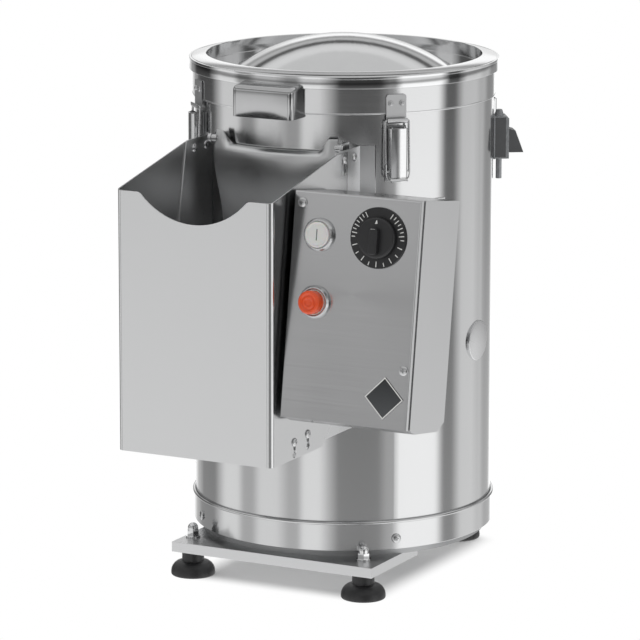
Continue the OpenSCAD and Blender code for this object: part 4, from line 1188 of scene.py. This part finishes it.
def card_light():
    """Glows at the level that the points of the globe of cards hold."""
    finish = bpy.data.materials.new("card_light")
    finish.use_nodes = True
    finish.node_tree.nodes.clear()
    level = node(finish, "Attribute", attribute_name="card_level")
    glow = node(finish, "Emission")
    link(level.outputs["Fac"], glow.inputs["Strength"])
    link(glow.outputs[0], node(finish, "OutputMaterial").inputs["Surface"])
    return finish


def make_cards():
    """A globe of grey and white cards that only the steel sees, by reflection."""
    middle = Vector((AXIS.x, AXIS.y, (drum_low.z + drum_high.z) / 2))
    edges = [(angle, level) for start, end, level in CARDS for angle in (start, end)]
    columns = len(edges)
    vertices, levels, faces = [], [], []
    for height, share, plain in CARD_ROWS:
        for angle, level in edges:
            out = direction(math.radians(angle), math.radians(height))
            vertices.append(middle + out * CARD_DISTANCE)
            levels.append(plain + level * share)
    for row in range(len(CARD_ROWS) - 1):
        for i in range(columns):
            a, b = row * columns + i, row * columns + (i + 1) % columns
            faces.append((a, b, b + columns, a + columns))
    mesh = bpy.data.meshes.new("studio_cards")
    mesh.from_pydata(vertices, [], faces)
    attribute = mesh.attributes.new("card_level", "FLOAT", "POINT")
    attribute.data.foreach_set("value", levels)
    mesh.materials.append(card_light())
    cards = in_scene("studio_cards", mesh)
    cards.visible_camera = False
    cards.visible_diffuse = False
    cards.visible_shadow = False


def background_ray(owner):
    """1 for rays that should see the plain white background, 0 for matte surfaces."""
    path = node(owner, "LightPath")
    either = combined(owner, "MAXIMUM", path.outputs["Is Camera Ray"], path.outputs["Is Glossy Ray"])
    return combined(owner, "MAXIMUM", either, path.outputs["Is Transmission Ray"])


def make_world(surround):
    """White behind the machine, and plain light of the given strength on its matte surfaces."""
    world = bpy.data.worlds.new("studio")
    world.use_nodes = True
    background = world.node_tree.nodes["Background"]
    background.inputs["Color"].default_value = colour4((1, 1, 1))
    strength = spread(world, background_ray(world), surround, 1.0, into=(0, 1))
    link(strength, background.inputs["Strength"])
    bpy.context.scene.world = world


def outside_footprint(finish):
    """Distance of a point of the floor from the machine's footprint."""
    point = node(finish, "TexCoord").outputs["Object"]
    for operation in ("ABSOLUTE", "SUBTRACT", "MAXIMUM", "LENGTH"):
        step = node(finish, "VectorMath", operation=operation)
        link(point, step.inputs[0])
        if operation == "SUBTRACT":
            step.inputs[1].default_value = (*FOOTPRINT, 0)
        point = step.outputs[0]
    return step.outputs["Value"]


@shared
def pale_floor():
    """Keeps the shadow, adds painted shade from ambient occlusion under the machine, and fades into the
    white background round it.
    """
    finish = new_finish(Roughness=0.7, Specular_IOR_Level=0.1, Emission_Color=colour4((1, 1, 1)))
    # Painted shade: the floor's colour, and its glow for background rays, are darkened by ambient
    # occlusion in the machine's corners, where little of the soft light comes in
    nook_reach, dark, pale, glow = 0.12, 0.56, 0.86, 0.23
    nook = node(finish, "AmbientOcclusion", Distance=nook_reach, samples=24)
    shade = spread(finish, nook.outputs["AO"], dark, pale, into=(0, 1))
    link(shade, shader_input(finish, "Base Color"))
    lift = combined(finish, "MULTIPLY", background_ray(finish), combined(finish, "MULTIPLY", shade, glow))
    link(lift, shader_input(finish, "Emission Strength"))
    fade = node(finish, "MapRange", interpolation_type="SMOOTHSTEP")
    fade.inputs["From Max"].default_value = SHADOW_FADE
    link(outside_footprint(finish), fade.inputs["Value"])
    nodes = finish.node_tree.nodes
    mixed = node(finish, "MixShader")
    link(fade.outputs["Result"], mixed.inputs["Fac"])
    link(nodes["Principled BSDF"].outputs[0], mixed.inputs[1])
    link(node(finish, "Emission").outputs[0], mixed.inputs[2])
    link(mixed.outputs[0], nodes["Material Output"].inputs["Surface"])
    return finish


def make_floor(radius):
    bm = bmesh.new()
    bmesh.ops.create_circle(bm, cap_ends=True, radius=radius, segments=96)
    floor = in_scene("floor", mesh_data("floor", bm))
    floor.data.materials.append(pale_floor())
    floor.location = (AXIS.x, AXIS.y, -0.0002)
    floor.visible_glossy = False


def make_lamp(power):
    """Large soft lamp above the machine, behind it and to its left."""
    data = bpy.data.lights.new("overhead", "AREA")
    data.shape = "SQUARE"
    data.size = 1.5
    data.energy = power
    lamp = in_scene("overhead", data)
    aim = AXIS + Vector((0, 0, 0.3))
    lamp.location = AXIS + Vector((-0.7, 0.5, 2.3))
    lamp.rotation_euler = (aim - lamp.location).to_track_quat("-Z", "Y").to_euler()
    lamp.visible_glossy = False


def make_camera(studio):
    back = direction(studio.azimuth, studio.elevation)
    level = Vector((math.cos(studio.azimuth), math.sin(studio.azimuth), 0))
    right = level * math.cos(studio.roll) + back.cross(level) * math.sin(studio.roll)
    data = bpy.data.cameras.new("camera")
    data.lens = studio.lens
    data.sensor_width = 36
    data.clip_start, data.clip_end = 0.1, 50
    camera = in_scene("camera", data)
    turned = Matrix((right, back.cross(right), back)).transposed().to_4x4()
    spot = AXIS + AIM * MM + back * studio.distance
    camera.matrix_world = Matrix.Translation(spot) @ turned
    bpy.context.scene.camera = camera


class PEELER_OT_studio(Operator):
    """Makes the camera, floor, cards, lamp and background"""

    bl_idname = "peeler.studio"
    bl_label = "Studio"

    def execute(self, context):
        studio = setting("studio")
        context.scene.view_settings.view_transform = "Standard"
        make_camera(studio)
        make_floor(studio.floor_radius)
        make_cards()
        make_world(studio.surround)
        make_lamp(studio.key_power)
        return {"FINISHED"}


# ---------------- panel and registration

STEPS = (
    PEELER_OT_studio, PEELER_OT_drum, PEELER_OT_lid, PEELER_OT_grip, PEELER_OT_latches,
    PEELER_OT_outlet, PEELER_OT_hood, PEELER_OT_control_box, PEELER_OT_dial, PEELER_OT_buttons,
    PEELER_OT_badge, PEELER_OT_screws, PEELER_OT_feet, PEELER_OT_fittings, PEELER_OT_chamber,
    PEELER_OT_drive)


class PEELER_PT_steps(Panel):
    """Lists the peeler's pieces and settings"""

    bl_label = "Potato Peeler"
    bl_idname = "PEELER_PT_steps"
    bl_space_type = "VIEW_3D"
    bl_region_type = "UI"
    bl_category = "Peeler"

    def draw(self, context):
        for step in STEPS:
            self.layout.operator(step.bl_idname)
        for name, group in SETTINGS.items():
            box = self.layout.box()
            box.label(text=group.__doc__)
            for key in group.__annotations__:
                box.prop(getattr(context.scene, name), key)


CLASSES = (*SETTINGS.values(), *STEPS, PEELER_PT_steps)


def register():
    for cls in CLASSES:
        bpy.utils.register_class(cls)
    for name, group in SETTINGS.items():
        setattr(bpy.types.Scene, name, PointerProperty(type=group))


def unregister():
    for name in SETTINGS:
        delattr(bpy.types.Scene, name)
    for cls in reversed(CLASSES):
        bpy.utils.unregister_class(cls)


def main():
    register()
    for step in STEPS:
        category, name = step.bl_idname.split(".")
        getattr(getattr(bpy.ops, category), name)()


if __name__ == "__main__":
    main()
